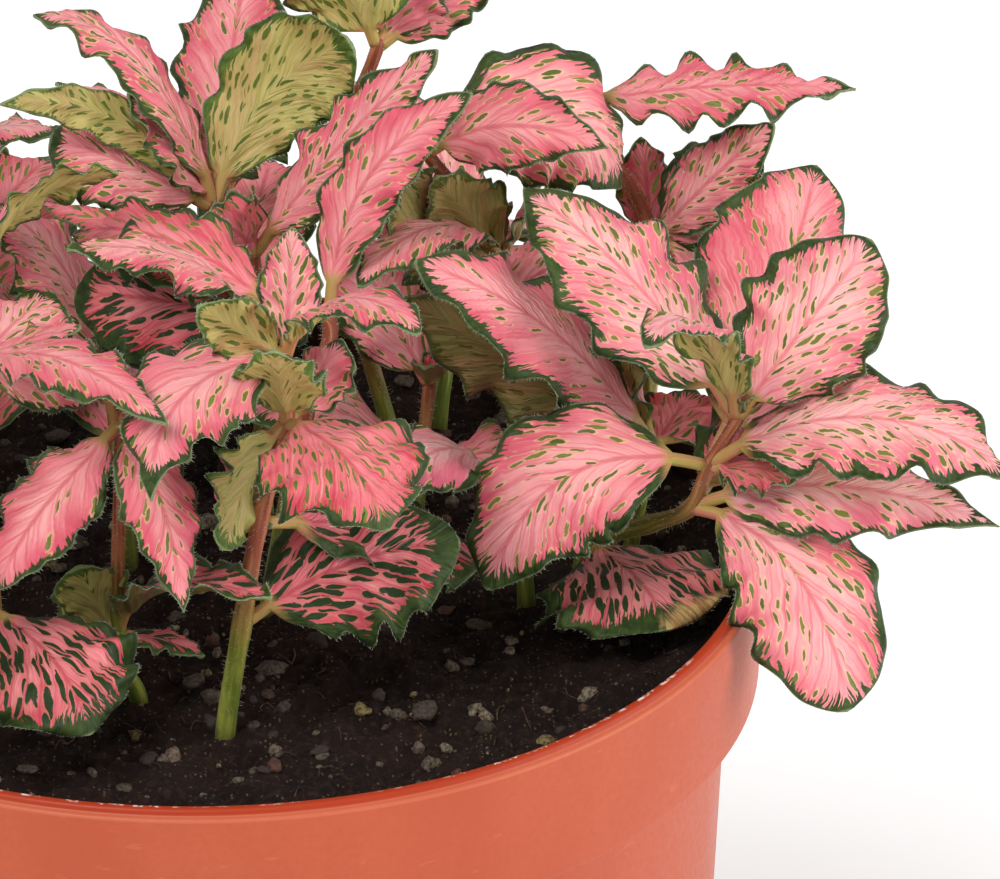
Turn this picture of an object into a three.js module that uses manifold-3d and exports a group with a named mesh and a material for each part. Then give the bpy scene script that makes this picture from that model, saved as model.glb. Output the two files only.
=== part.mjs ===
// A potted nerve plant: leafy cuttings in a round plastic nursery pot filled with soil.
// Millimetres, +Z up. The origin is the centre of the pot's flat base, and -Y is the side that is looked at.
import * as THREE from "three";
import { mergeVertices } from "three/addons/utils/BufferGeometryUtils.js";
import Module from "manifold-3d";

const wasm = await Module();
wasm.setup();

// Driving dimensions of the pot
const RIM_RADIUS = 60;
const POT_HEIGHT = 104.6;
const BAND_HEIGHT = 15.6;
const BAND_DRAFT = 0.5;
const BAND_STEP = 3.4;
const WALL_TAPER = 3.8;
const WALL_THICKNESS = 1.3;
const FLOOR_THICKNESS = 1.8;
const LIP_WIDTH = 1.9;
const SHOULDER_WIDTH = 0.7;
const SHOULDER_DROP = 1.2;
const BASE_CHAMFER = 1;
const BAND_CHAMFER = 0.4;
const BAND_FOOT_THICKNESS = 1.5;
const POT_SIDES = 36;
const DRAIN_HOLES = 6;
const DRAIN_RADIUS = 4;
const DRAIN_CIRCLE = 28;

// Driving dimensions of the soil and of the stems that stand in it
const GAP = 0.4;
const SOIL_LEVEL = 97;
const SOIL_BUMP = 0.6;
const SOIL_SIDES = 24;
const SOIL_RINGS = [16, 30, 42];
const SOIL_EDGE_DROP = 1;
const FACET_ALLOWANCE = 0.4;
const ROOT_LEVEL = 86;
const STEM_FOOT_RADIUS = 1.3;
const STEM_TOP_RADIUS = 0.9;
const STEM_END = 1.2;
const STEM_SIDES = 5;
const STEM_STEPS_PER_SPAN = 2;

// Driving dimensions of a leaf
const BLADE_THICKNESS = 0.9;
const STALK_THICKNESS = 1.5;
const STALK_SHARE = 0.12;
const STALK_HALF_WIDTH = 0.9;
const STALK_START = 0.6;
const TIP_HALF_WIDTH = 0.25;
const RUFFLE_HEIGHT = 1.1;
const FULL_RUFFLE_WIDTH = 14;
const BASE_TAPER = 0.72;
const BLADE_STEPS = 5;
const CONTROL_SHARE = 0.38;

const POT_COLOUR = 0xcd6b4b;
const SOIL_COLOUR = 0x241a15;
const LEAF_COLOUR = 0xf0828c;

const UP = new THREE.Vector3(0, 0, 1);
const DEGREES = Math.PI / 180;

// Geometry to solid and back
function solidFrom(points, faces) {
  return new wasm.Manifold(
    new wasm.Mesh({
      numProp: 3,
      vertProperties: new Float32Array(points.flat()),
      triVerts: new Uint32Array(faces.flat()),
    }),
  );
}

function solidFromGeometry(geometry) {
  const bare = geometry.clone();
  bare.deleteAttribute("normal");
  bare.deleteAttribute("uv");
  const merged = mergeVertices(bare, 1e-4);
  return new wasm.Manifold(
    new wasm.Mesh({
      numProp: 3,
      vertProperties: merged.attributes.position.array,
      triVerts: new Uint32Array(merged.index.array),
    }),
  );
}

function meshFromSolid(name, solid, material) {
  const { numProp, numVert, vertProperties, triVerts } = solid.getMesh();
  const positions = new Float32Array(numVert * 3);
  for (let i = 0; i < numVert; i++) {
    positions.set(vertProperties.subarray(i * numProp, i * numProp + 3), i * 3);
  }
  const geometry = new THREE.BufferGeometry();
  geometry.setAttribute("position", new THREE.BufferAttribute(positions, 3));
  geometry.setIndex(new THREE.BufferAttribute(triVerts, 1));
  geometry.computeVertexNormals();
  const mesh = new THREE.Mesh(geometry, material);
  mesh.name = name;
  return mesh;
}

// A repeatable number from 0 to 1 for one draw of one leaf or shoot
function draw(seed, k) {
  const x = Math.sin(seed * 12.9898 + k * 78.233) * 43758.5453;
  return x - Math.floor(x);
}

// The pot: one moulding, turned as a profile. A rim band steps out of a slightly tapered wall, and a thin lip
// stands up from the band's shoulder.
const bandFoot = POT_HEIGHT - BAND_HEIGHT;
const bandFootRadius = RIM_RADIUS - BAND_DRAFT;
const wallTopRadius = bandFootRadius - BAND_STEP;
const baseRadius = wallTopRadius - WALL_TAPER;

// The radius of the inside of the pot at a height
const bandInside = bandFoot + BAND_FOOT_THICKNESS;
const wallInsideTop = bandFoot - 1;

function innerRadius(z) {
  if (z >= bandInside) {
    return RIM_RADIUS - LIP_WIDTH - ((POT_HEIGHT - z) / BAND_HEIGHT) * BAND_DRAFT;
  }
  const t = (z - FLOOR_THICKNESS) / (bandFoot - FLOOR_THICKNESS);
  return baseRadius - WALL_THICKNESS + t * WALL_TAPER;
}

function makePot() {
  const outside = [
    [0, 0],
    [baseRadius - BASE_CHAMFER, 0],
    [baseRadius, BASE_CHAMFER],
    [wallTopRadius, bandFoot],
    [bandFootRadius - BAND_CHAMFER, bandFoot],
    [bandFootRadius, bandFoot + BAND_CHAMFER],
    [RIM_RADIUS, POT_HEIGHT - SHOULDER_DROP - BAND_CHAMFER],
    [RIM_RADIUS - BAND_CHAMFER, POT_HEIGHT - SHOULDER_DROP],
    [RIM_RADIUS - SHOULDER_WIDTH, POT_HEIGHT - SHOULDER_DROP],
    [RIM_RADIUS - SHOULDER_WIDTH - BAND_CHAMFER, POT_HEIGHT],
    [RIM_RADIUS - LIP_WIDTH, POT_HEIGHT],
  ];
  const inside = [
    [innerRadius(bandInside), bandInside],
    [innerRadius(bandFoot), wallInsideTop],
    [innerRadius(FLOOR_THICKNESS), FLOOR_THICKNESS],
    [0, FLOOR_THICKNESS],
  ];
  const profile = [...outside, ...inside].map(([r, z]) => new THREE.Vector2(r, z));
  const turned = new THREE.LatheGeometry(profile, POT_SIDES).rotateX(Math.PI / 2);
  let pot = solidFromGeometry(turned);
  for (let i = 0; i < DRAIN_HOLES; i++) {
    const angle = ((i + 0.5) / DRAIN_HOLES) * 2 * Math.PI;
    const hole = new THREE.CylinderGeometry(DRAIN_RADIUS, DRAIN_RADIUS, 4 * FLOOR_THICKNESS, 14);
    hole.rotateX(Math.PI / 2);
    hole.translate(DRAIN_CIRCLE * Math.cos(angle), DRAIN_CIRCLE * Math.sin(angle), 0);
    pot = pot.subtract(solidFromGeometry(hole));
  }
  return pot;
}

// A stem: a slim tube through its points, with its foot straight down in the soil
function stemCurve(shoot) {
  const [x, y] = shoot.foot;
  const points = [
    [x, y, ROOT_LEVEL],
    [x, y, SOIL_LEVEL],
    ...shoot.nodes,
  ].map((p) => new THREE.Vector3(...p));
  return new THREE.CatmullRomCurve3(points, false, "catmullrom", 0.5);
}

function makeStem(shoot, extra) {
  const curve = stemCurve(shoot);
  const spans = curve.points.length - 1;
  const steps = (spans - 1) * STEM_STEPS_PER_SPAN + 1;
  const points = [];
  const faces = [];
  for (let i = 0; i <= steps; i++) {
    const span = i === 0 ? 0 : 1 + (i - 1) / STEM_STEPS_PER_SPAN;
    const centre = curve.getPoint(span / spans);
    const along = curve.getTangent(span / spans);
    const across = new THREE.Vector3(0, 1, 0).addScaledVector(along, -along.y).normalize();
    const aside = new THREE.Vector3().crossVectors(along, across);
    const radius = THREE.MathUtils.lerp(STEM_FOOT_RADIUS, STEM_TOP_RADIUS, i / steps) + extra;
    if (i === 0) {
      centre.z -= extra;
    }
    if (i === steps) {
      centre.addScaledVector(along, STEM_END);
    }
    for (let k = 0; k < STEM_SIDES; k++) {
      const angle = (k / STEM_SIDES) * 2 * Math.PI;
      const p = centre.clone();
      p.addScaledVector(across, radius * Math.cos(angle));
      p.addScaledVector(aside, radius * Math.sin(angle));
      points.push(p.toArray());
    }
  }
  for (let i = 0; i < steps; i++) {
    for (let k = 0; k < STEM_SIDES; k++) {
      const a = i * STEM_SIDES + k;
      const b = i * STEM_SIDES + ((k + 1) % STEM_SIDES);
      faces.push([a, b, b + STEM_SIDES], [a, b + STEM_SIDES, a + STEM_SIDES]);
    }
  }
  const last = steps * STEM_SIDES;
  for (let k = 1; k < STEM_SIDES - 1; k++) {
    faces.push([0, k + 1, k], [last, last + k, last + k + 1]);
  }
  return solidFrom(points, faces);
}

// A leaf: a cubic arch from its stem to its tip, with a ruffled blade across it.
// roll turns the blade about its length, lift and droop are the angles at which the arch leaves and ends,
// sway bends it sideways, twist turns the blade towards its tip, cup raises or lowers both edges, and
// taper says how pointed the tip is.
const LEVEL = { roll: 0, lift: 20, droop: 25, sway: 0, twist: 0, cup: -0.15, taper: 0.8 };

function leaf(node, tip, width, habit) {
  return { node, tip, width, ...LEVEL, ...habit };
}

// Half the width of a blade of width 2 at a share of its length. A small taper gives a blunt tip.
function outline(x, taper) {
  const t = THREE.MathUtils.clamp(x, 0, 1);
  const widest = BASE_TAPER / (BASE_TAPER + taper);
  return (t / widest) ** BASE_TAPER * ((1 - t) / (1 - widest)) ** taper;
}

// The place and the frame of a leaf at a share u of its length
function leafFrame(leafOf, base, u) {
  const tip = new THREE.Vector3(...leafOf.tip);
  const chord = tip.clone().sub(base);
  const length = chord.length();
  const ahead = chord.divideScalar(length);
  let over = UP.clone().addScaledVector(ahead, -ahead.z);
  if (over.length() < 0.05) {
    over = new THREE.Vector3(0, -1, 0).addScaledVector(ahead, ahead.y);
  }
  over.normalize();
  over.applyAxisAngle(ahead, leafOf.roll * DEGREES);
  const side = new THREE.Vector3().crossVectors(ahead, over);
  const reach = CONTROL_SHARE * length;
  const lift = leafOf.lift * DEGREES;
  const droop = leafOf.droop * DEGREES;
  const first = base.clone();
  first.addScaledVector(ahead, reach * Math.cos(lift));
  first.addScaledVector(over, reach * Math.sin(lift));
  first.addScaledVector(side, leafOf.sway * length);
  const second = tip.clone();
  second.addScaledVector(ahead, -reach * Math.cos(droop));
  second.addScaledVector(over, reach * Math.sin(droop));
  second.addScaledVector(side, leafOf.sway * length);
  const arch = new THREE.CubicBezierCurve3(base, first, second, tip);
  const along = arch.getTangent(u);
  const up = new THREE.Vector3().crossVectors(side, along).normalize();
  const across = new THREE.Vector3().crossVectors(along, up);
  const turn = leafOf.twist * DEGREES * u * u;
  up.applyAxisAngle(along, turn);
  across.applyAxisAngle(along, turn);
  return { place: arch.getPoint(u), up, across };
}

// A point of a leaf's middle surface: u runs from stem to tip, v from -1 to 1 across
function leafPoint(leafOf, frame, u, v) {
  const x = THREE.MathUtils.clamp((u - STALK_SHARE) / (1 - STALK_SHARE), 0, 1);
  const wave = 1 + 0.05 * Math.sin(2 * Math.PI * ((4 + draw(leafOf.seed, 0)) * x + draw(leafOf.seed, 1)));
  const blade = (leafOf.width / 2) * outline(x, leafOf.taper) * wave;
  const half = STALK_HALF_WIDTH * (1 - x) + TIP_HALF_WIDTH * x + blade;
  const sideOf = v < 0 ? 0 : 1;
  const waves = 2.6 + 1.2 * draw(leafOf.seed, 4 + sideOf);
  const ruffle =
    RUFFLE_HEIGHT *
    Math.min(1, leafOf.width / FULL_RUFFLE_WIDTH) *
    Math.sqrt(Math.max(0, Math.sin(Math.PI * x))) *
    Math.sin(2 * Math.PI * (waves * x + draw(leafOf.seed, 2 + sideOf)));
  const point = frame.place.clone();
  point.addScaledVector(frame.across, v * half);
  point.addScaledVector(frame.up, v * v * (ruffle + leafOf.cup * half));
  return point;
}

function makeLeaf(leafOf, base) {
  const stations = [STALK_START / base.distanceTo(new THREE.Vector3(...leafOf.tip))];
  for (let i = 0; i <= BLADE_STEPS; i++) {
    stations.push(STALK_SHARE + ((1 - STALK_SHARE) * i) / BLADE_STEPS);
  }
  const columns = [-1, 0, 1];
  const points = [];
  const faces = [];
  for (const u of stations) {
    const frame = leafFrame(leafOf, base, u);
    const thickness = u < STALK_SHARE ? STALK_THICKNESS : BLADE_THICKNESS;
    for (const lift of [thickness / 2, -thickness / 2]) {
      for (const v of columns) {
        const p = leafPoint(leafOf, frame, u, v).addScaledVector(frame.up, lift);
        points.push(p.toArray());
      }
    }
  }
  const count = columns.length;
  const at = (i, bottom, j) => i * 2 * count + bottom * count + j;
  const quad = (a, b, c, d) => faces.push([a, b, c], [a, c, d]);
  const end = stations.length - 1;
  for (let i = 0; i < end; i++) {
    for (let j = 0; j < count - 1; j++) {
      quad(at(i, 0, j), at(i, 0, j + 1), at(i + 1, 0, j + 1), at(i + 1, 0, j));
      faces.push([at(i, 1, j), at(i + 1, 1, j + 1), at(i, 1, j + 1)]);
      faces.push([at(i, 1, j), at(i + 1, 1, j), at(i + 1, 1, j + 1)]);
    }
    quad(at(i, 0, 0), at(i + 1, 0, 0), at(i + 1, 1, 0), at(i, 1, 0));
    quad(at(i, 1, count - 1), at(i + 1, 1, count - 1), at(i + 1, 0, count - 1), at(i, 0, count - 1));
  }
  for (let j = 0; j < count - 1; j++) {
    quad(at(0, 0, j + 1), at(0, 0, j), at(0, 1, j), at(0, 1, j + 1));
    quad(at(end, 0, j), at(end, 0, j + 1), at(end, 1, j + 1), at(end, 1, j));
  }
  return solidFrom(points, faces);
}

// The shoots that are placed by hand, each with its foot in the soil, the nodes of its stem and its leaves
const PLACED = [
  {
    name: "shoot_right",
    foot: [40, -2],
    nodes: [
      [41, -3, 104],
      [47, -8, 109],
      [51, -12, 113],
      [53, -12, 118],
      [56, -11, 123],
    ],
    leaves: [
      leaf(0, [48.5, -19, 102], 22, { lift: 15, droop: 30, taper: 0.6 }),
      leaf(3, [29, -22, 109], 15, { roll: -45, lift: 25, droop: 35, sway: 0.28, taper: 0.75 }),
      leaf(2, [67, -25, 95], 16, { roll: 25, lift: 50, droop: 30, sway: -0.15, taper: 0.55 }),
      leaf(2, [84, -14, 111], 10.5, { roll: 45, lift: 40, droop: 20, sway: -0.08, taper: 1.2 }),
      leaf(3, [84, -20, 120], 14, { roll: 20, lift: 40, droop: 50, sway: -0.08 }),
      leaf(3, [62, -16, 118], 8, { lift: 10, droop: 20 }),
      leaf(4, [34, 5, 143], 15.5, { roll: -15, droop: 20, taper: 0.85 }),
      leaf(3, [66.5, 18, 138.8], 19.5, { roll: 40, lift: 15, droop: 15, taper: 0.7 }),
      leaf(4, [70.4, -6, 141.4], 14.5, { roll: 50, droop: 20, taper: 0.65 }),
      leaf(4, [45.1, -26, 139.3], 9, { roll: 0, lift: 40, droop: 70 }),
      leaf(2, [68, 8, 122], 12, { lift: 10, droop: 10 }),
    ],
  },
  {
    name: "shoot_centre",
    foot: [46, 8],
    nodes: [[48, 2, 113]],
    leaves: [
      leaf(0, [22, -6, 140], 13.5, { roll: -35, taper: 0.75 }),
      leaf(0, [21, 3, 131.3], 12, { roll: 80, lift: 10, droop: 10 }),
      leaf(0, [53, 12, 115], 12, { lift: 0, droop: 0 }),
      leaf(0, [43, 12, 128], 14, { roll: 80, lift: 0, droop: 0 }),
    ],
  },
  {
    name: "shoot_spur",
    foot: [34, -4],
    nodes: [
      [33, -3, 104],
      [28, -4, 115],
    ],
    leaves: [leaf(1, [18, -19, 119], 10, { roll: -20, lift: 40, droop: 50 })],
  },
  {
    name: "shoot_front",
    foot: [1, -31],
    nodes: [
      [3, -32, 111],
      [5, -30, 122],
      [8, -27, 132],
      [8, -26, 139],
    ],
    leaves: [
      leaf(0, [26, -24, 116], 16, { roll: 40, lift: 15, droop: 15, sway: -0.08, taper: 0.65 }),
      leaf(1, [29, -10, 106], 14, { roll: 25, lift: 10, droop: 20 }),
      leaf(2, [18, -42, 127], 19, { lift: 30, droop: 40, taper: 0.9 }),
      leaf(2, [1, -36, 122], 12, { roll: 90, lift: 30, droop: 20 }),
      leaf(3, [-6, -42, 131], 12.5, { roll: -15, lift: 30, droop: 50, taper: 1.25, sway: 0.2 }),
      leaf(2, [6.7, -37, 145.4], 9, { lift: 15, droop: 10 }),
      leaf(2, [14, -20, 138], 8, { lift: 0, droop: 0 }),
      leaf(3, [-1, -30, 147], 6, { roll: 90, lift: 10, droop: 10 }),
      leaf(3, [21.4, -40, 148.3], 9, { roll: 0, lift: 50, droop: 60 }),
      leaf(3, [9, -20, 151], 6, { lift: 0, droop: 0 }),
    ],
  },
  {
    name: "shoot_left",
    foot: [-8, -23],
    nodes: [
      [-10, -25, 106],
      [-9, -26, 132],
    ],
    leaves: [
      leaf(0, [6, -41, 119], 8, { lift: 50, droop: 20, cup: 0.2 }),
      leaf(0, [-14, -26, 115], 8, { roll: 70, lift: 10, droop: 20, taper: 0.5 }),
      leaf(0, [-1, -28, 105], 4, { droop: 30 }),
      leaf(1, [-22, -38, 119], 9.5, { roll: -10, lift: 10, droop: 30 }),
      leaf(1, [-3, -40, 117], 7.5, { lift: 40, droop: 30, taper: 1.1 }),
    ],
  },
  {
    name: "shoot_far_left",
    foot: [-24, -24],
    nodes: [
      [-23, -30, 112],
      [-24, -20, 136],
      [-24, -10, 142],
    ],
    leaves: [
      leaf(0, [-13, -44, 105], 19, { lift: 30, droop: 50, taper: 0.7 }),
      leaf(1, [-4.2, -41, 139.2], 8, { roll: 10, lift: 30, droop: 30, taper: 1 }),
      leaf(1, [-10, -20, 133], 7, { roll: 60, lift: 10, droop: 10 }),
      leaf(1, [-16, -10, 139], 12, { lift: 10, droop: 10 }),
      leaf(1, [-13, -20, 140], 6, { lift: 10, droop: 10 }),
      leaf(2, [-9, 0, 148], 8, { roll: -55, lift: 40, droop: 40 }),
    ],
  },
  {
    name: "shoot_middle",
    foot: [6, -4],
    nodes: [
      [10, -6, 121],
      [13, -4, 132],
      [6, -4, 133],
    ],
    leaves: [
      leaf(2, [-14, 2, 133], 13, { roll: -50, lift: 10, droop: 20, taper: 0.6 }),
      leaf(2, [-14.5, -10, 144], 12, { roll: 0, lift: 30, taper: 0.9 }),
      leaf(2, [-14, 6, 138], 10.5, { roll: -20, lift: 75, droop: 50 }),
      leaf(2, [-18, 10, 140], 4, { roll: -20, droop: 20 }),
      leaf(1, [28.4, 0, 156.6], 7.5, { roll: 45, lift: 10, droop: 10, sway: -0.2 }),
    ],
  },
  {
    name: "shoot_high",
    foot: [6, 14],
    nodes: [
      [5, 12, 132],
      [1, 14, 137],
    ],
    leaves: [
      leaf(1, [16.1, 16, 155.3], 12.5, { roll: -120, lift: 10, droop: 40, sway: 0.2, taper: 0.45 }),
      leaf(1, [-21.5, 6, 153.5], 4.5, { roll: 115, lift: 10, droop: 20, taper: 0.9, sway: -0.2 }),
      leaf(1, [-16.5, 14, 145.5], 12, { roll: -30, lift: 10, droop: 20, taper: 0.5 }),
      leaf(1, [-18, 22, 156.5], 8, { lift: 35, droop: 60 }),
      leaf(1, [-8, 16, 150], 8, { lift: 10, droop: 10 }),
      leaf(1, [5.5, 36, 158.3], 12, { lift: 10, droop: 10 }),
      leaf(0, [25, 7, 158.5], 8.5, { roll: 50, lift: 10, droop: 10 }),
      leaf(0, [-0.9, 4, 140.2], 8, { roll: -105, lift: 10, droop: 20, sway: 0.15 }),
    ],
  },
  {
    name: "shoot_top",
    foot: [22, 22],
    nodes: [
      [14, 22, 134],
      [19, 22, 152],
    ],
    leaves: [
      leaf(1, [13.5, 24, 168], 15, { roll: 90, lift: 0, droop: 0 }),
      leaf(1, [25, 28, 162], 9, { roll: 40, lift: 0, droop: 0 }),
      leaf(1, [33, 30, 160], 7, { roll: 40, lift: 0, droop: 0 }),
    ],
  },
  {
    name: "shoot_back",
    foot: [34, 16],
    nodes: [
      [32, 14, 130],
      [24, 12, 144],
    ],
    leaves: [
      leaf(1, [43, 4, 148], 9, { roll: 60, lift: 30, droop: 30, sway: -0.15, taper: 1.1 }),
      leaf(1, [45, 16, 137.5], 16, { roll: 50, lift: 50, droop: 60, sway: -0.3 }),
      leaf(0, [39, 12, 145], 5, { lift: 10, droop: 10 }),
      leaf(0, [16.1, -4, 136], 9, { roll: 0, lift: 50, droop: 50 }),
      leaf(0, [19.5, 4, 141], 12, { roll: 110, lift: 10, droop: 20, taper: 0.5 }),
      leaf(0, [24.9, 8, 143.2], 9, { roll: 70, lift: 0, droop: 10 }),
    ],
  },
  {
    name: "shoot_back_right",
    foot: [48, 22],
    nodes: [
      [49, 24, 127],
      [40, 24, 144],
    ],
    leaves: [
      leaf(1, [71, 22, 146], 8.5, { roll: 20, lift: 10, droop: 10, taper: 1.1 }),
      leaf(0, [62, 20, 143], 8, { roll: 60, lift: 10, droop: 10 }),
      leaf(0, [61, 22, 138], 12, { roll: 60, lift: 10, droop: 10 }),
      leaf(0, [48, 28, 138], 6, { lift: 10, droop: 10 }),
      leaf(0, [64, 25, 125], 10, { roll: 60, lift: 10, droop: 10 }),
    ],
  },
];

// The shoots that grow by rule round the rest of the pot: foot, lean of the stem from foot to top, height of
// its top, pairs of leaves, direction of the first pair and length of a full leaf
const GROWN = [
  { name: "shoot_west_front", foot: [-36, -32], lean: [-8, -9], top: 134, pairs: 3, turn: 25, length: 29 },
  { name: "shoot_west", foot: [-45, -8], lean: [-12, -3], top: 138, pairs: 3, turn: 70, length: 31 },
  { name: "shoot_west_inner", foot: [-26, 6], lean: [-8, 2], top: 136, pairs: 3, turn: 10, length: 29 },
  { name: "shoot_west_back", foot: [-40, 20], lean: [-12, 8], top: 140, pairs: 3, turn: 120, length: 31 },
  { name: "shoot_back_left", foot: [-26, 36], lean: [-9, 8], top: 122, pairs: 2, turn: 60, length: 29 },
  { name: "shoot_back_middle", foot: [2, 42], lean: [0, 9], top: 120, pairs: 2, turn: 80, length: 28 },
  { name: "shoot_back_far", foot: [26, 38], lean: [4, 9], top: 114, pairs: 2, turn: 30, length: 28 },
  { name: "shoot_inner_right", foot: [22, 5], lean: [2, 3], top: 118, pairs: 2, turn: 35, length: 25 },
  { name: "shoot_inner_left", foot: [-9, 8], lean: [-2, 5], top: 118, pairs: 2, turn: 60, length: 26 },
];

const NEIGHBOUR_GAP = 3;
const OWN_GAP = 2;
const RIM_CLEARANCE = 2;
const SIDE_TURNS = [0, 12, -12, 24, -24, 38, -38, 52, -52];
const RISES = [0, 10, -10, 22, -18];
const SIZES = [1, 0.85, 0.7];

// Points over a leaf's blade from a share of its length on, for keeping leaves apart
const SAMPLE_STEP = 0.09;
const STALK_SAMPLES = 0.17;
const BLADE_SAMPLES = 0.35;

function samplesOf(leafOf, base, start) {
  const samples = [];
  for (let u = start; u < 1.02; u += SAMPLE_STEP) {
    const frame = leafFrame(leafOf, base, Math.min(u, 1));
    for (const v of [-1, -0.5, 0, 0.5, 1]) {
      samples.push(leafPoint(leafOf, frame, Math.min(u, 1), v));
    }
  }
  return samples;
}

function stemSamples(shoot) {
  return stemCurve(shoot).getPoints(24);
}

function apart(samples, others, distance) {
  return samples.every((p) => others.every((q) => p.distanceTo(q) > distance));
}

// Clear of the soil inside the pot and of the rim round it
function clearOfPot(p) {
  const radius = Math.hypot(p.x, p.y);
  if (radius > RIM_RADIUS + RIM_CLEARANCE) {
    return true;
  }
  const lowest = radius < RIM_RADIUS - 8 ? SOIL_LEVEL : POT_HEIGHT;
  return p.z > lowest + RIM_CLEARANCE;
}

// A leaf that would touch its neighbours turns aside, rises or stays smaller, and is left out if it finds
// no room
function findRoom(wish, base, neighbours, own) {
  for (const size of SIZES) {
    for (const rise of RISES) {
      for (const side of SIDE_TURNS) {
        const turn = (wish.turn + side) * DEGREES;
        const climb = (wish.climb + rise) * DEGREES;
        const length = wish.length * size;
        const tip = [
          base.x + length * Math.cos(climb) * Math.cos(turn),
          base.y + length * Math.cos(climb) * Math.sin(turn),
          base.z + length * Math.sin(climb),
        ];
        const tried = { ...leaf(wish.node, tip, wish.width * size, wish.habit), seed: wish.seed };
        const samples = samplesOf(tried, base, STALK_SAMPLES);
        const blade = samplesOf(tried, base, BLADE_SAMPLES);
        if (
          samples.every(clearOfPot) &&
          apart(samples, neighbours, NEIGHBOUR_GAP) &&
          apart(blade, own, OWN_GAP)
        ) {
          return { tried, samples };
        }
      }
    }
  }
  return null;
}

// The stem of a cutting of the rule, which leans outwards
function stemOf(spec) {
  const nodes = [];
  for (let i = 1; i <= spec.pairs; i++) {
    const share = i / spec.pairs;
    nodes.push([
      spec.foot[0] + spec.lean[0] * share ** 1.5,
      spec.foot[1] + spec.lean[1] * share ** 1.5,
      SOIL_LEVEL + (spec.top - SOIL_LEVEL) * share,
    ]);
  }
  return { name: spec.name, foot: spec.foot, nodes, leaves: [] };
}

// Its pairs of leaves, set crosswise from the top of the stem down
function growLeaves(shoot, spec, index, neighbours) {
  const own = [];
  for (let i = spec.pairs - 1; i >= 0; i--) {
    const share = (i + 1) / spec.pairs;
    for (const side of [0, 1]) {
      const seed = index * 17 + (2 * i + side) * 3 + 1;
      const length = spec.length * (0.8 + 0.25 * draw(seed, 10)) * (share === 1 ? 0.85 : 1);
      const wish = {
        node: i,
        seed,
        length,
        width: length * (0.5 + 0.1 * draw(seed, 11)),
        turn: spec.turn + 90 * i + 180 * side + 24 * (draw(seed, 12) - 0.5),
        climb: 2 + 36 * share + 14 * (draw(seed, 13) - 0.5),
        habit: {
          roll: 36 * (draw(seed, 14) - 0.5),
          lift: 22 + 18 * draw(seed, 15),
          droop: 25 + 25 * draw(seed, 16),
          sway: 0.2 * (draw(seed, 17) - 0.5),
        },
      };
      const found = findRoom(wish, new THREE.Vector3(...shoot.nodes[i]), neighbours, own);
      if (found) {
        shoot.leaves.push(found.tried);
        own.push(...found.samples);
      }
    }
  }
  return own;
}

// Every stem takes its place first, then the leaves of one shoot after another
function plantShoots() {
  const placed = PLACED.map((shoot, index) => {
    const leaves = shoot.leaves.map((leafOf, i) => ({ ...leafOf, seed: index * 17 + i * 3 + 1 }));
    return { ...shoot, leaves };
  });
  const grown = GROWN.map(stemOf);
  const leafPoints = placed.flatMap((shoot) =>
    shoot.leaves.flatMap((leafOf) =>
      samplesOf(leafOf, new THREE.Vector3(...shoot.nodes[leafOf.node]), STALK_SAMPLES),
    ),
  );
  grown.forEach((shoot, i) => {
    const others = [...placed, ...grown].filter((other) => other !== shoot);
    const neighbours = [...leafPoints, ...others.flatMap(stemSamples)];
    leafPoints.push(...growLeaves(shoot, GROWN[i], placed.length + i, neighbours));
  });
  return [...placed, ...grown];
}

// A shoot is its stem and leaves fused; a hollow that the fusing seals is filled and a loose scrap is dropped
function makeShoot(shoot) {
  let solid = makeStem(shoot, 0);
  for (const leafOf of shoot.leaves) {
    solid = solid.add(makeLeaf(leafOf, new THREE.Vector3(...shoot.nodes[leafOf.node])));
  }
  const bodies = solid.decompose();
  bodies.sort((a, b) => b.volume() - a.volume());
  return bodies[0];
}

// The soil: one root ball that follows the inside of the pot, with a bumpy top and a plain hole for each stem
function soilTop(x, y) {
  const broad = Math.sin(0.31 * x + 1) * Math.cos(0.27 * y);
  const narrow = 0.5 * Math.sin(0.7 * x - 0.6 * y);
  return SOIL_LEVEL + SOIL_BUMP * (broad + narrow);
}

function makeSoil(shoots) {
  const floor = FLOOR_THICKNESS + GAP;
  const margin = GAP + FACET_ALLOWANCE;
  const shoulder = wallInsideTop + GAP;
  const rims = [
    [innerRadius(SOIL_LEVEL) - margin, SOIL_LEVEL - SOIL_EDGE_DROP],
    [innerRadius(bandInside) - margin, bandInside + GAP],
    [innerRadius(shoulder) - margin, shoulder],
    [innerRadius(FLOOR_THICKNESS) - margin, floor],
  ];
  const points = [[0, 0, soilTop(0, 0)]];
  const ring = (radius, levelAt) => {
    for (let k = 0; k < SOIL_SIDES; k++) {
      const angle = (k / SOIL_SIDES) * 2 * Math.PI;
      const x = radius * Math.cos(angle);
      const y = radius * Math.sin(angle);
      points.push([x, y, levelAt(x, y)]);
    }
  };
  for (const radius of SOIL_RINGS) {
    ring(radius, soilTop);
  }
  for (const [radius, level] of rims) {
    ring(radius, () => level);
  }
  points.push([0, 0, floor]);
  const faces = [];
  const rings = SOIL_RINGS.length + rims.length;
  const at = (i, k) => 1 + i * SOIL_SIDES + (k % SOIL_SIDES);
  for (let k = 0; k < SOIL_SIDES; k++) {
    faces.push([0, at(0, k), at(0, k + 1)]);
    for (let i = 0; i < rings - 1; i++) {
      faces.push([at(i, k), at(i + 1, k), at(i + 1, k + 1)]);
      faces.push([at(i, k), at(i + 1, k + 1), at(i, k + 1)]);
    }
    faces.push([at(rings - 1, k), points.length - 1, at(rings - 1, k + 1)]);
  }
  let soil = solidFrom(points, faces);
  for (const shoot of shoots) {
    soil = soil.subtract(makeStem(shoot, GAP));
  }
  return soil;
}

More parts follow.
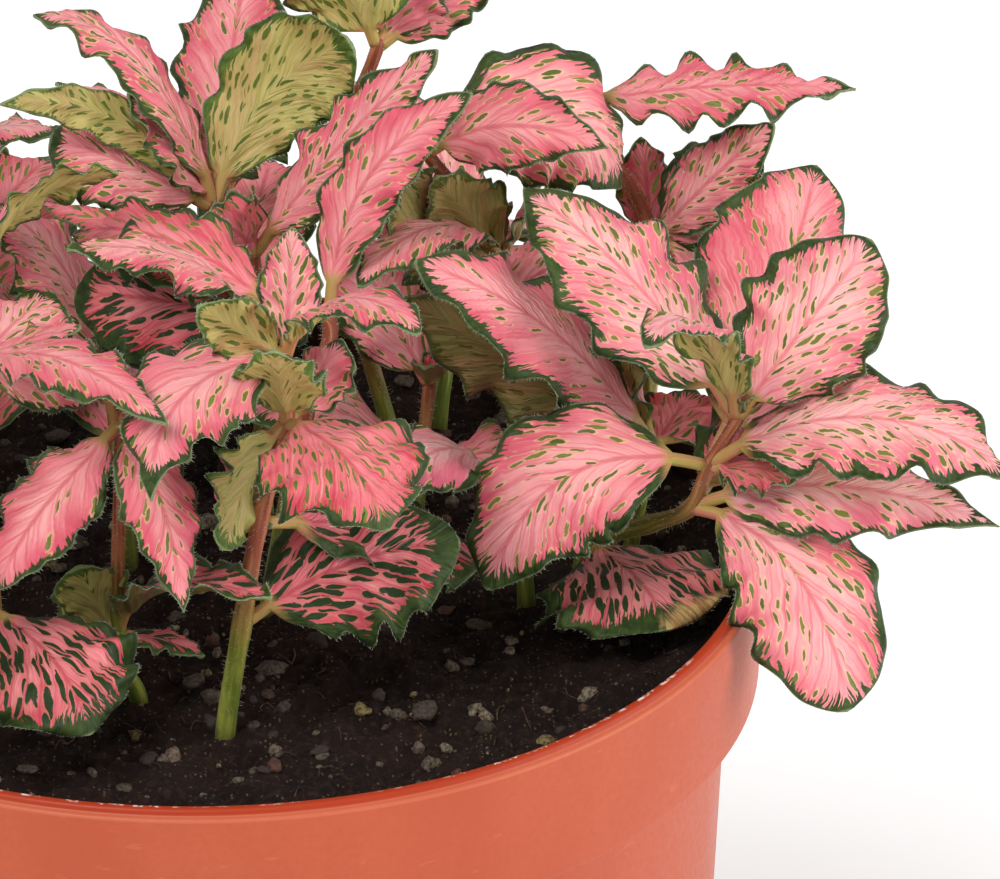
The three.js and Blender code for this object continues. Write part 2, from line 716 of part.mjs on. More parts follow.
// The plant as a scene graph: one named mesh for the pot, the soil and each shoot
const potMaterial = new THREE.MeshStandardMaterial({ color: POT_COLOUR, roughness: 0.42, metalness: 0 });
const soilMaterial = new THREE.MeshStandardMaterial({ color: SOIL_COLOUR, roughness: 0.95, metalness: 0 });
const leafMaterial = new THREE.MeshStandardMaterial({ color: LEAF_COLOUR, roughness: 0.5, metalness: 0 });

const shoots = plantShoots();
const plant = new THREE.Group();
plant.name = "potted_nerve_plant";
plant.add(meshFromSolid("pot", makePot(), potMaterial));
plant.add(meshFromSolid("soil", makeSoil(shoots), soilMaterial));
for (const shoot of shoots) {
  plant.add(meshFromSolid(shoot.name, makeShoot(shoot), leafMaterial));
}

export default plant;
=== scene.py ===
# %% [markdown]
# # A potted nerve plant
#
# The object is a low, bushy nerve plant in a round nursery pot. Its leaves are pink with a dark green, wavy
# margin, and they are what a viewer looks at first. This lesson builds it in the order in which the eye needs it:
# the frame and the camera, the light, the pot, the soil, and then one leaf that is good enough to be repeated.
#
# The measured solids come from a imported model. They say how big the pot is and where each shoot stands. The pieces
# below take their places, so every length here is in millimetres, as it is there, and is turned into metres once.

# %% Load the measured frame
import itertools
import math

import bpy
import numpy as np
from mathutils import Matrix, Quaternion, Vector


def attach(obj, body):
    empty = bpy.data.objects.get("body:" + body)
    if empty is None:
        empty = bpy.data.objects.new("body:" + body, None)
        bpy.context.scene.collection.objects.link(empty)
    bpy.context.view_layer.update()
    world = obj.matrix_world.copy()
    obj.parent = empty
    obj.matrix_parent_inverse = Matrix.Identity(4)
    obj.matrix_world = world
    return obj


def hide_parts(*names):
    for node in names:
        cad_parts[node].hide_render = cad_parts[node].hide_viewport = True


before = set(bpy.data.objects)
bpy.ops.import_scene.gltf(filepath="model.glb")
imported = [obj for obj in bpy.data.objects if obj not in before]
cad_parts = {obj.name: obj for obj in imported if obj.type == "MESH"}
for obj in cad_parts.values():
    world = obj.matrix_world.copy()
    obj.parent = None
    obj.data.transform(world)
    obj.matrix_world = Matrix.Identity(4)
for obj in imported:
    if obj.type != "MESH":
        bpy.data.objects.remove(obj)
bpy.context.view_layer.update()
MM = 0.001
TURN = 2 * math.pi
print("nodes in the frame:", len(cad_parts))

# %% [markdown]
# ## The camera
#
# The photograph looks down on the pot at about 28 degrees from some way off, so that near and far leaves keep
# nearly the same scale. A long lens gives that. Its place was found by fitting the pot's rim to the ellipse it
# makes in the picture. No shift is needed, because the lens may aim a little beside the pot.

# %% Place the camera
CAMERA_PLACE = (0.0, -705.0, 482.2)
CAMERA_AIM = (31.3, 0.0, 115.45)
CAMERA_LENS = 265.6


def set_up(name, data, place, aim):
    """A camera or lamp at a place in millimetres, turned towards a point."""
    thing = bpy.data.objects.new(name, data)
    bpy.context.scene.collection.objects.link(thing)
    thing.location = Vector(place) * MM
    thing.rotation_euler = (Vector(aim) - Vector(place)).to_track_quat("-Z", "Y").to_euler()
    return thing


camera_data = bpy.data.cameras.new("long_lens")
camera_data.lens = CAMERA_LENS
camera_data.sensor_width = 36.0
camera_data.clip_start = 0.05
camera_data.clip_end = 50.0
camera = set_up("camera", camera_data, CAMERA_PLACE, CAMERA_AIM)
bpy.context.scene.camera = camera
print("camera is", round((camera.location - Vector(CAMERA_AIM) * MM).length, 3), "m from what it looks at")

# %% [markdown]
# ## Helpers for meshes
#
# Leaves, stems and pot are all sheets or tubes of points joined by quads, so numpy makes the points and one
# function turns them into a Blender object. Vectors may be stored on the points as named attributes. A material
# reads them back, which lets a pattern follow the leaf instead of the room.

# %% Turn arrays into objects
def make_piece(name, points, faces, layers=None, smooth=True):
    """A mesh object from millimetre points, faces as index rows, and named vector layers."""
    mesh = bpy.data.meshes.new(name)
    mesh.from_pydata((np.asarray(points) * MM).tolist(), [], [list(face) for face in faces])
    for layer_name, values in (layers or {}).items():
        layer = mesh.attributes.new(layer_name, "FLOAT_VECTOR", "POINT")
        layer.data.foreach_set("vector", np.asarray(values, np.float32).ravel())
    if smooth:
        mesh.polygons.foreach_set("use_smooth", [True] * len(mesh.polygons))
    mesh.update()
    piece = bpy.data.objects.new(name, mesh)
    bpy.context.scene.collection.objects.link(piece)
    return piece


def grid_faces(rows, columns, closed=False):
    """Quads between the rows and columns of a grid, joined round its columns if it is closed."""
    last = columns if closed else columns - 1
    i, j = np.meshgrid(np.arange(rows - 1), np.arange(last), indexing="ij")
    near, far = i * columns + j, i * columns + (j + 1) % columns
    return np.stack([near, far, far + columns, near + columns], axis=-1).reshape(-1, 4)


def closed_skin(start, rings, end, flipped=False):
    """Points and faces of a skin over rings of points that closes on a point at either end."""
    rows, columns = np.shape(rings)[:2]
    points = np.concatenate([[start], np.reshape(rings, (-1, 3)), [end]])
    last = len(points) - 1
    faces = (grid_faces(rows, columns, closed=True) + 1).tolist()
    for k in range(columns):
        after = (k + 1) % columns
        faces += [(0, 1 + after, 1 + k), (last, last - columns + k, last - columns + after)]
    return points, [face[::-1] if flipped else face for face in faces]


def round_and_round(count):
    """The cosines and sines of evenly spaced angles of a full turn."""
    angles = np.arange(count) / count * TURN
    return np.cos(angles), np.sin(angles)


def unit(vectors):
    return vectors / np.maximum(np.linalg.norm(vectors, axis=-1, keepdims=True), 1e-9)


def turned(vectors, axes, angles):
    """Vectors turned about unit axes by angles in radians."""
    c, s = np.cos(angles)[..., None], np.sin(angles)[..., None]
    along = np.sum(vectors * axes, axis=-1, keepdims=True)
    return vectors * c + np.cross(axes, vectors) * s + axes * along * (1 - c)


# %% [markdown]
# ## Helpers for materials
#
# Each finish is a small tree of nodes. Written out one link at a time such a tree is long to read. Here a value
# that a node gives out can be added, multiplied, ramped, or coated with a colour, as if it were a number.

# %% What a node gives out, used as if it were a number
class Value:
    """What a node gives out."""

    def __init__(self, finish, socket):
        self.finish, self.socket = finish, socket

    def __add__(self, other):
        return self.finish.math("ADD", self, other)

    def __sub__(self, other):
        return self.finish.math("SUBTRACT", self, other)

    def __rsub__(self, other):
        return self.finish.math("SUBTRACT", other, self)

    def __mul__(self, other):
        return self.finish.math("MULTIPLY", self, other)

    def ramp(self, low, high, start=0.0, end=1.0):
        """A smooth step from start to end as the value goes from low to high."""
        return self.finish.node("MapRange", self, low, high, start, end, interpolation_type="SMOOTHSTEP")

    def coat(self, colour, amount):
        """The colour under a coat of another, which hides it where the amount is 1."""
        return self.finish.mix(amount, self, colour)

    def split(self):
        """The three parts of a vector or colour."""
        parts = self.finish.node("SeparateXYZ", self).socket.node.outputs
        return [Value(self.finish, part) for part in parts]


# %% One material as a tree of nodes
class Finish:
    """The node tree of one material."""

    def __init__(self, name, **values):
        self.material = bpy.data.materials.new(name)
        self.material.use_nodes = True
        self.tree = self.material.node_tree
        self.shader = self.tree.nodes["Principled BSDF"]
        for socket, value in values.items():
            self.shader.inputs[socket.replace("_", " ")].default_value = value

    def feed(self, socket, value):
        """Links a node's value to a socket, or sets the socket to a number or colour."""
        if isinstance(value, Value):
            self.tree.links.new(value.socket, socket)
        else:
            socket.default_value = value

    def node(self, kind, *values, into=range(9), out=0, **settings):
        """What a new node gives out, once it has its settings and its inputs have their values."""
        node = self.tree.nodes.new("ShaderNode" + kind)
        for name, setting in settings.items():
            setattr(node, name, setting)
        for socket, value in zip(into, values):
            self.feed(node.inputs[socket], value)
        return Value(self, node.outputs[out])

    def layer(self, name):
        """The three numbers of a named layer."""
        return self.node("Attribute", out="Vector", attribute_name=name).split()

    def place(self):
        """The point in the object's own space, in millimetres."""
        own = self.node("TexCoord", out="Object")
        return self.node("VectorMath", own, 1 / MM, into=(0, "Scale"), operation="SCALE")

    def vector(self, x, y, z):
        return self.node("CombineXYZ", x, y, z)

    def math(self, operation, *values):
        return self.node("Math", *values, operation=operation)

    def noise(self, vector, scale=1.0, detail=2.0, roughness=0.5):
        into = ("Vector", "Scale", "Detail", "Roughness")
        return self.node("TexNoise", vector, scale, detail, roughness, into=into)

    def cells(self, vector, scale=1.0, scatter=1.0):
        """Distance from the nearest centre of a flat pattern, and that centre's own three random numbers."""
        into, flat = ("Vector", "Scale", "Randomness"), dict(voronoi_dimensions="2D")
        distance = self.node("TexVoronoi", vector, scale, scatter, into=into, out="Distance", **flat)
        return distance, Value(self, distance.socket.node.outputs["Color"]).split()

    def mix(self, amount, a, b):
        """Colour a where the amount is 0, colour b where it is 1."""
        return self.node("Mix", amount, a, b, into=(0, 6, 7), out=2, data_type="RGBA")

    def bump(self, height, distance, strength=1.0):
        """Relief of a height from 0 to 1 that stands up by a distance in millimetres."""
        into = ("Height", "Distance", "Strength")
        self.feed(self.shader.inputs["Normal"], self.node("Bump", height, distance * MM, strength, into=into))

    def colour(self, value):
        self.feed(self.shader.inputs["Base Color"], value)

    def rough(self, value):
        self.feed(self.shader.inputs["Roughness"], value)


# %% Colours by their numbers on a paint chart
def paint(red, green, blue):
    """A colour as a paint chart gives it, 0 to 255, turned into the linear light that a shader needs."""
    channels = [c / 255 for c in (red, green, blue)]
    return tuple(c / 12.92 if c <= 0.04045 else ((c + 0.055) / 1.055) ** 2.4 for c in channels) + (1.0,)


print("a mid pink in linear light:", [round(c, 3) for c in paint(245, 120, 130)])

# %% [markdown]
# ## Light and floor
#
# The plant was lit softly from all round against white, with a slightly stronger light from the upper left. A
# bright plain sky gives the soft part. Two large lamps give the leaves their form, and the floor is near white so
# that it lights the undersides of the leaves as a white table would.

# %% Sky, lamps and floor
SKY_COLOUR = (1.0, 0.99, 0.98, 1.0)
SKY_STRENGTH = 0.54
HALF_FLOOR = 6000.0

world = bpy.data.worlds.new("soft_white_room")
world.use_nodes = True
sky = world.node_tree.nodes["Background"]
sky.inputs["Color"].default_value = SKY_COLOUR
sky.inputs["Strength"].default_value = SKY_STRENGTH
bpy.context.scene.world = world
bpy.context.scene.view_settings.view_transform = "Standard"

# Each lamp is a square soft box: its name, place, aim, side in millimetres and power in watts
for name, place, aim, side, power in (
    ("key_box", (-500, -620, 1150), (0, 0, 110), 620, 11.5),
    ("side_box", (980, -230, 340), (20, 0, 80), 700, 6.8),
):
    lamp = bpy.data.lights.new(name, "AREA")
    lamp.shape = "SQUARE"
    lamp.size = side * MM
    lamp.energy = power
    set_up(name, lamp, place, aim)

floor_corners = [(HALF_FLOOR * x, HALF_FLOOR * y, 0) for x, y in ((-1, -1), (1, -1), (1, 1), (-1, 1))]
floor = make_piece("floor", floor_corners, [(0, 1, 2, 3)])
table = Finish("pale_floor", Roughness=0.9, Emission_Color=(1.0, 1.0, 1.0, 1.0), Emission_Strength=0.2)
table.colour(table.mix(table.noise(table.place(), 0.004), paint(252, 252, 252), paint(246, 246, 246)))
floor.data.materials.append(table.material)

# %% [markdown]
# ## The pot
#
# A nursery pot is one thin plastic moulding. Its outline is a profile turned about the axis, so the mesh is made
# by turning a list of radii and heights. The corners are rounded in the list itself, since a moulding has no
# sharp edge, and a thin lip stands up from the shoulder of the rim band.

# %% Turn the pot's profile
RIM_RADIUS = 60.0
POT_HEIGHT = 104.6
BAND_HEIGHT = 15.6
BAND_DRAFT = 0.5
BAND_STEP = 3.4
WALL_TAPER = 3.8
WALL_THICKNESS = 1.3
FLOOR_THICKNESS = 1.8
LIP_WIDTH = 1.9
SHOULDER_WIDTH = 0.7
SHOULDER_DROP = 0.7
LIP_SLANT = 0.25
FOOT_WIDTH = 8.4
FOOT_HEIGHT = 0.6
POT_SEGMENTS = 192
BAND_FOOT = POT_HEIGHT - BAND_HEIGHT
BAND_INSIDE = BAND_FOOT + 1.5
WALL_TOP_RADIUS = RIM_RADIUS - BAND_DRAFT - BAND_STEP
BASE_RADIUS = WALL_TOP_RADIUS - WALL_TAPER


def level_ring(count, radius, level):
    """Points round the axis at a radius and a level, or at a level for each point."""
    c, s = round_and_round(count)
    return np.stack([radius * c, radius * s, np.broadcast_to(level, count)], axis=1)


def turn_profile(name, profile, segments):
    """A closed skin turned about the axis from a profile that starts and ends on it."""
    rings = [level_ring(segments, *point) for point in profile[1:-1]]
    return make_piece(name, *closed_skin((0, 0, profile[0][1]), rings, (0, 0, profile[-1][1])))


def rounded(corner, before, after, radius, steps=4):
    """The points of a rounded corner of a profile."""
    corner, before, after = (np.array(p, float) for p in (corner, before, after))
    start, end = (corner + unit(other - corner) * radius for other in (before, after))
    t = np.linspace(0, 1, steps + 1)[:, None]
    curve = (1 - t) ** 2 * start + 2 * t * (1 - t) * corner + t**2 * end
    return [tuple(p) for p in curve]


def rounded_profile(corners):
    """A profile from corners with a rounding radius each; the first and last stay as they are."""
    profile = [corners[0][:2]]
    for before, here, after in zip(corners, corners[1:], corners[2:]):
        profile += rounded(here[:2], before[:2], after[:2], here[2])
    return profile + [corners[-1][:2]]


shoulder = POT_HEIGHT - SHOULDER_DROP
lip_inside = RIM_RADIUS - LIP_WIDTH
pot_profile = rounded_profile(
    [
        (0, FOOT_HEIGHT, 0),
        (BASE_RADIUS - FOOT_WIDTH - 0.6, FOOT_HEIGHT, 0.3),
        (BASE_RADIUS - FOOT_WIDTH, 0, 0.3),
        (BASE_RADIUS, 0, 1.2),
        (WALL_TOP_RADIUS, BAND_FOOT, 0.5),
        (RIM_RADIUS - BAND_DRAFT, BAND_FOOT, 0.7),
        (RIM_RADIUS, shoulder, 0.45),
        (RIM_RADIUS - SHOULDER_WIDTH, shoulder, 0.2),
        (RIM_RADIUS - SHOULDER_WIDTH - LIP_SLANT, POT_HEIGHT, 0.35),
        (lip_inside, POT_HEIGHT, 0.35),
        (lip_inside - BAND_DRAFT, BAND_INSIDE, 0.5),
        (WALL_TOP_RADIUS - WALL_THICKNESS, BAND_FOOT - 1, 0.5),
        (BASE_RADIUS - WALL_THICKNESS, FLOOR_THICKNESS, 1.0),
        (0, FLOOR_THICKNESS, 0),
    ]
)
pot = turn_profile("nursery_pot", pot_profile, POT_SEGMENTS)
print("pot:", len(pot.data.vertices), "points")

# %% [markdown]
# The drain holes go through the base. A boolean is the plain way to cut them: it is applied at once, so that the
# finished pot is an ordinary mesh, and the cutters are thrown away.

# %% Cut the drain holes
DRAIN_HOLES = 6
DRAIN_RADIUS = 4.0
DRAIN_CIRCLE = 28.0
CUTTER_REACH = 5
CUTTER_SEGMENTS = 32

for i in range(DRAIN_HOLES):
    angle = (i + 0.5) / DRAIN_HOLES * TURN
    profile = [(0, -CUTTER_REACH), (DRAIN_RADIUS, -CUTTER_REACH), (DRAIN_RADIUS, CUTTER_REACH), (0, CUTTER_REACH)]
    cutter = turn_profile("cutter", profile, CUTTER_SEGMENTS)
    cutter.location = Vector((DRAIN_CIRCLE * math.cos(angle), DRAIN_CIRCLE * math.sin(angle), 0)) * MM
    bpy.context.view_layer.update()
    cut = pot.modifiers.new("hole", "BOOLEAN")
    cut.operation = "DIFFERENCE"
    cut.object = cutter
    cut.solver = "EXACT"
    bpy.context.view_layer.objects.active = pot
    bpy.ops.object.modifier_apply(modifier=cut.name)
    bpy.data.objects.remove(cutter)
print("pot after its holes:", len(pot.data.polygons), "faces")

# %% [markdown]
# The plastic is a satin orange, a little pinker where it faces the side light, with faint cloudy streaks from the
# moulding and a few rubbed marks. The thin lip is painted a deeper orange, standing in for light shining through the
# thin plastic, and the shoulder under it gets a faint painted highlight. Inside, the wall above the soil is painted
# near black, and dried water has left pale crumbs just under the lip.

# %% Finish the pot
plastic = Finish("terracotta_plastic", IOR=1.46, Specular_IOR_Level=0.3)
here = plastic.place()
pot_x, pot_y, pot_z = here.split()
radius_here = plastic.math("SQRT", pot_x * pot_x + pot_y * pot_y)
cloud = plastic.noise(plastic.vector(pot_x, pot_y, pot_z * 0.45), 0.055, 3.0, 0.55)
grain = plastic.noise(here, 1.3, 3.0, 0.6)
streak = plastic.noise(plastic.vector(pot_x * 0.8, pot_y, pot_z * 2.6), 0.35)
body = plastic.mix(cloud.ramp(0.3, 0.7), paint(174, 74, 43), paint(183, 85, 54))
body = body.coat(paint(170, 70, 40), grain.ramp(0.35, 0.75, 0.0, 0.3))
body = body.coat(paint(206, 112, 82), streak.ramp(0.66, 0.74, 0.0, 0.25))
# The lip above the shoulder is painted a deep orange, standing in for light shining through the thin plastic.
body = body.coat(paint(162, 46, 8), pot_z.ramp(shoulder - 0.02, shoulder + 0.3) * 0.9)
# A faint painted highlight along the shoulder edge.
shoulder_painted_highlight = pot_z.ramp(shoulder - 0.45, shoulder - 0.25) * pot_z.ramp(shoulder + 0.05, shoulder + 0.15, 1.0, 0.0)
body = body.coat(paint(228, 138, 108), shoulder_painted_highlight * 0.2)
wall_here = pot_z * ((WALL_TOP_RADIUS - BASE_RADIUS) / BAND_FOOT) + (BASE_RADIUS - WALL_THICKNESS / 2)
above_band_foot = plastic.math("GREATER_THAN", pot_z, BAND_FOOT + 0.3)
inner_limit = wall_here + above_band_foot * (lip_inside + 0.17 - wall_here)
# The inner wall above the soil is painted near black.
dark_inner_wall = (inner_limit - radius_here).ramp(-0.05, 0.05)
dark_inner_wall = dark_inner_wall * (pot_z + grain * 1.2).ramp(POT_HEIGHT - 0.6, POT_HEIGHT + 0.5, 1.0, 0.0)
body = body.coat(paint(30, 20, 17), dark_inner_wall * 0.96)
crumb = plastic.noise(here, 0.9, 4.0, 0.7).ramp(0.51, 0.62) * plastic.noise(here, 0.06, 1.0).ramp(0.42, 0.56)
crumb = crumb * pot_z.ramp(POT_HEIGHT - 1.6, POT_HEIGHT - 0.5)
crumb = crumb * radius_here.ramp(lip_inside + 0.45, lip_inside + 0.6, 1.0, 0.0)
plastic.colour(body.coat(paint(225, 205, 195), crumb))
plastic.rough((cloud + grain * 0.4).ramp(0.4, 1.0, 0.36, 0.55))
plastic.bump(grain + cloud * 2.0, 0.05, 0.5)
pot.data.materials.append(plastic.material)
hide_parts("pot")
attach(pot, "root")
print("pot is finished with", len(plastic.tree.nodes), "nodes")

# %% [markdown]
# ## The soil
#
# Potting soil is dark peat with fibres, bark and pale grit. The root ball is one turned skin whose top is a fine
# polar grid, pushed up and down by several sizes of crumb. Real crumbs, grit and fibres are then laid on it as
# separate small solids, because only geometry keeps them sharp from every side.

# %% Crumbly ground as a height
SOIL_LEVEL = 97.0
SOIL_RADIUS = 57.1
HEAP_START = 47
HEAP_WIDTH = 9
HEAP_HEIGHT = 1.6


def hashed(ix, iy, seed):
    """A repeatable random number from 0 to 1 for whole-number cells."""
    value = np.sin(ix * 127.1 + iy * 311.7 + seed * 74.7) * 43758.5453
    return value - np.floor(value)


def rumble(x, y, size, seed):
    """Smooth noise from -1 to 1 whose lumps are about one size across."""
    x, y = x / size, y / size
    ix, iy = np.floor(x), np.floor(y)
    fx, fy = (f * f * (3 - 2 * f) for f in (x - ix, y - iy))
    low = hashed(ix, iy, seed) * (1 - fx) + hashed(ix + 1, iy, seed) * fx
    high = hashed(ix, iy + 1, seed) * (1 - fx) + hashed(ix + 1, iy + 1, seed) * fx
    return 2 * (low * (1 - fy) + high * fy) - 1


def soil_height(x, y):
    """The top of the soil in millimetres: the solid's gentle swell, then lumps, crumbs and a heaped edge."""
    x, y = np.asarray(x, float), np.asarray(y, float)
    swell = 0.6 * (np.sin(0.31 * x + 1) * np.cos(0.27 * y) + 0.5 * np.sin(0.7 * x - 0.6 * y))
    lumps = 0.9 * rumble(x, y, 7.0, 1) + 0.55 * rumble(x, y, 3.1, 2)
    crumbs = 0.8 * np.abs(rumble(x, y, 1.7, 3)) + 0.45 * rumble(x, y, 0.9, 4)
    heap = HEAP_HEIGHT * np.clip((np.hypot(x, y) - HEAP_START) / HEAP_WIDTH, 0, 1) ** 2
    return SOIL_LEVEL + swell + lumps + crumbs + heap


# %% Build the root ball
SOIL_SEGMENTS = 300
SOIL_RINGS = 96
SOIL_GAP = 0.6
SOIL_FOOT = FLOOR_THICKNESS + 0.4

soil_profile = [(radius, None) for radius in SOIL_RADIUS * np.linspace(0, 1, SOIL_RINGS + 1)[1:]]
soil_profile += [
    (SOIL_RADIUS, BAND_INSIDE + 0.5),
    (WALL_TOP_RADIUS - WALL_THICKNESS - SOIL_GAP, BAND_FOOT - 2),
    (BASE_RADIUS - WALL_THICKNESS - SOIL_GAP, SOIL_FOOT),
]
soil_rings = []
for radius, level in soil_profile:
    x, y, _ = level_ring(SOIL_SEGMENTS, radius, 0).T
    soil_rings.append(level_ring(SOIL_SEGMENTS, radius, soil_height(x, y) if level is None else level))
soil_skin = closed_skin((0, 0, soil_height(0, 0)), soil_rings, (0, 0, SOIL_FOOT), flipped=True)
soil = make_piece("root_ball", *soil_skin)

peat = Finish("damp_peat", Roughness=0.92, Specular_IOR_Level=0.25)
peat_place = peat.place()
crumb_tone = peat.noise(peat_place, 1.1, 5.0, 0.7)
fleck, (fleck_chance, fleck_kind, _) = peat.cells(peat_place, 1.9)
ground = peat.mix(peat.noise(peat_place, 0.12, 3.0, 0.6).ramp(0.3, 0.7), paint(25, 13, 10), paint(42, 24, 18))
ground = ground.coat(paint(72, 49, 38), crumb_tone.ramp(0.47, 0.72, 0.0, 0.8))
fleck_here = fleck.ramp(0.14, 0.3, 1.0, 0.0) * fleck_chance.ramp(0.84, 0.87)
fleck_colour = peat.mix(fleck_kind, paint(136, 116, 98), paint(112, 100, 60))
peat.colour(ground.coat(fleck_colour, fleck_here * 0.6))
peat.bump(crumb_tone, 1.3)
soil.data.materials.append(peat.material)
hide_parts("soil")
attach(soil, "root")
print("root ball:", len(soil.data.polygons), "faces")

# %% [markdown]
# Grit and bark are lumps: a low ball whose points are pushed in and out, squashed, turned and half sunk. Each
# lump's own tone is kept as a layer, so one material gives pale grit, grey stone and brown bark.

# %% Lumps, and places for them
chance = np.random.default_rng(7)


def ball(columns=10, rows=6):
    """The points and faces of a ball."""
    rings = [level_ring(columns, math.sin(p), math.cos(p)) for p in np.linspace(0, math.pi, rows + 1)[1:-1]]
    return closed_skin((0, 0, 1), rings, (0, 0, -1), flipped=True)


def random_turn():
    """A rotation matrix drawn evenly."""
    return np.array(Quaternion(chance.normal(size=4)).normalized().to_matrix())


def random_spot(reach):
    """A place on the soil, drawn evenly within a radius."""
    radius = reach * math.sqrt(chance.random())
    angle = TURN * chance.random()
    return radius * math.cos(angle), radius * math.sin(angle)


def gather(parts):
    """One set of points, faces and layers from several."""
    points, faces, layers, count = [], [], {}, 0
    for part_points, part_faces, part_layers in parts:
        points.append(part_points)
        faces += [tuple(int(i) + count for i in face) for face in part_faces]
        for name, values in part_layers.items():
            layers.setdefault(name, []).append(values)
        count += len(part_points)
    return np.concatenate(points), faces, {name: np.concatenate(values) for name, values in layers.items()}


print("one lump has", len(ball()[0]), "points")

# %% Scatter grit and bark on the soil
GRIT_COUNT = 520
BARK_COUNT = 90
SCATTER_RADIUS = 55.5
LUMP_ROUGHNESS = 0.13
MOSTLY_SMALL = 1.7


def scatter_lumps(name, count, sizes, flatness, tone_range, rise):
    """Lumps strewn over the soil, each with a tone of its own."""
    ball_points, ball_faces = ball()
    lumps = []
    for _ in range(count):
        x, y = random_spot(SCATTER_RADIUS)
        size = sizes[0] * (sizes[1] / sizes[0]) ** (chance.random() ** MOSTLY_SMALL)
        dents = 1 + LUMP_ROUGHNESS * chance.normal(size=(len(ball_points), 1))
        shape = ball_points * dents * size * [1, 0.75, flatness]
        turn = random_turn() if flatness > 0.5 else np.eye(3)
        spin = np.array(Matrix.Rotation(TURN * chance.random(), 3, "Z"))
        lump = shape @ (spin @ turn).T + [x, y, float(soil_height(x, y)) + rise * size]
        tone = tone_range * chance.random()
        lumps.append((lump, ball_faces, {"lump": [(tone, chance.random(), size)] * len(lump)}))
    return make_piece(name, *gather(lumps))


grit = scatter_lumps("grit", GRIT_COUNT, (0.22, 1.5), 0.65, 1.0, 0.0)
bark = scatter_lumps("bark_bits", BARK_COUNT, (0.9, 2.1), 0.3, 0.4, 0.25)

print("grit and bark:", len(grit.data.polygons) + len(bark.data.polygons), "faces")

# %% Finish the grit and bark
stone = Finish("dusty_grit", Roughness=0.85)
stone_tone, stone_kind, _ = stone.layer("lump")
dust = stone.noise(stone.place(), 2.4, 3.0, 0.6)
stone_colour = stone.mix(stone_tone.ramp(0.0, 0.55), paint(52, 40, 33), paint(100, 86, 72))
stone_colour = stone_colour.coat(paint(132, 118, 98), stone_tone.ramp(0.72, 0.95))
stone_colour = stone_colour.coat(paint(150, 132, 74), stone_kind.ramp(0.86, 0.92, 0.0, 0.6))
stone_colour = stone_colour.coat(paint(92, 50, 38), stone_kind.ramp(0.1, 0.16, 0.7, 0.0))
stone.colour(stone_colour.coat(paint(40, 27, 21), dust.ramp(0.42, 0.62, 0.0, 0.8)))
stone.bump(dust, 0.2, 0.7)
for piece in (grit, bark):
    piece.data.materials.append(stone.material)
    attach(piece, "root")
print("grit finish:", len(stone.tree.nodes), "nodes")

# %% [markdown]
# Peat fibres are threads. A thread here is a three-sided tube along a short curve that hugs the ground. The same
# tube maker will serve for stems, so it takes any path and any radius.

# %% Lay fibres on the soil
FIBRE_COUNT = 240
FIBRE_STEPS = 7
FIBRE_SPREAD = 54
FIBRE_BEND = 0.35


def tube(path, radii, sides):
    """Points and faces of a closed tube along a path; each end closes on a point."""
    path = np.asarray(path, float)
    along = unit(np.gradient(path, axis=0))
    helper = np.where(np.abs(along[:, 1:2]) < 0.9, [[0.0, 1.0, 0.0]], [[1.0, 0.0, 0.0]])
    across = unit(helper - along * np.sum(helper * along, axis=1, keepdims=True))
    aside = np.cross(along, across)
    c, s = round_and_round(sides)
    rim = c[:, None] * across[:, None] + s[:, None] * aside[:, None]
    return closed_skin(path[0], path[:, None] + np.reshape(radii, (-1, 1, 1)) * rim, path[-1])


threads = []
for _ in range(FIBRE_COUNT):
    x, y = random_spot(FIBRE_SPREAD)
    heading = TURN * chance.random()
    bend = chance.normal() * FIBRE_BEND
    stride = (1.2 + 4.5 * chance.random() ** 2) / FIBRE_STEPS
    lift = 0.15 + 0.5 * chance.random()
    path = []
    for i in range(FIBRE_STEPS):
        arch = lift * math.sin(math.pi * i / (FIBRE_STEPS - 1))
        path.append((x, y, float(soil_height(x, y)) + arch + 0.05))
        x, y = x + stride * math.cos(heading), y + stride * math.sin(heading)
        heading += bend
    points, faces = tube(path, np.full(FIBRE_STEPS, 0.04 + 0.07 * chance.random()), 3)
    threads.append((points, faces, {"lump": [(chance.random(), 0, 0)] * len(points)}))
fibres = make_piece("peat_fibres", *gather(threads))
thread = Finish("peat_thread", Roughness=0.8)
thread_colour = thread.mix(thread.layer("lump")[0], paint(40, 26, 20), paint(104, 74, 54))
thread.colour(thread_colour.coat(paint(40, 26, 20), thread.noise(thread.place(), 0.8).ramp(0.4, 0.7)))
fibres.data.materials.append(thread.material)
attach(fibres, "root")
print("fibres:", FIBRE_COUNT)

# %% [markdown]
# ## One leaf
#
# A leaf of this plant arches from its stem to its tip, and its blade is a ruffled sheet across that arch. The
# measured solids use the same rule with few points. Here the arch is the same cubic curve, so that each leaf keeps
# its place, and the blade gets what a solid of few faces can't show: a finely waved margin, a groove along the
# midrib, puckers between the veins, and a thickness that thins out to a sharp edge.

# %% The arch of a leaf
UP = np.array([0.0, 0.0, 1.0])
CONTROL_SHARE = 0.38
STALK_SHARE = 0.12
FULL_WIDTH = 14


def draw(seed, k):
    """A repeatable number from 0 to 1 for one draw of one leaf or shoot."""
    value = math.sin(seed * 12.9898 + k * 78.233) * 43758.5453
    return value - math.floor(value)


def leaf(node, tip, width, look="warm", roll=0, lift=20, droop=25, **habit):
    """A leaf of a shoot: the stem node it grows from, its tip, its width, its look and how it bends in degrees."""
    usual = dict(sway=0, cup=-0.15, taper=0.8, waves=1, seed=0)
    return dict(node=node, tip=tip, width=width, look=look, roll=roll, lift=lift, droop=droop, **(usual | habit))


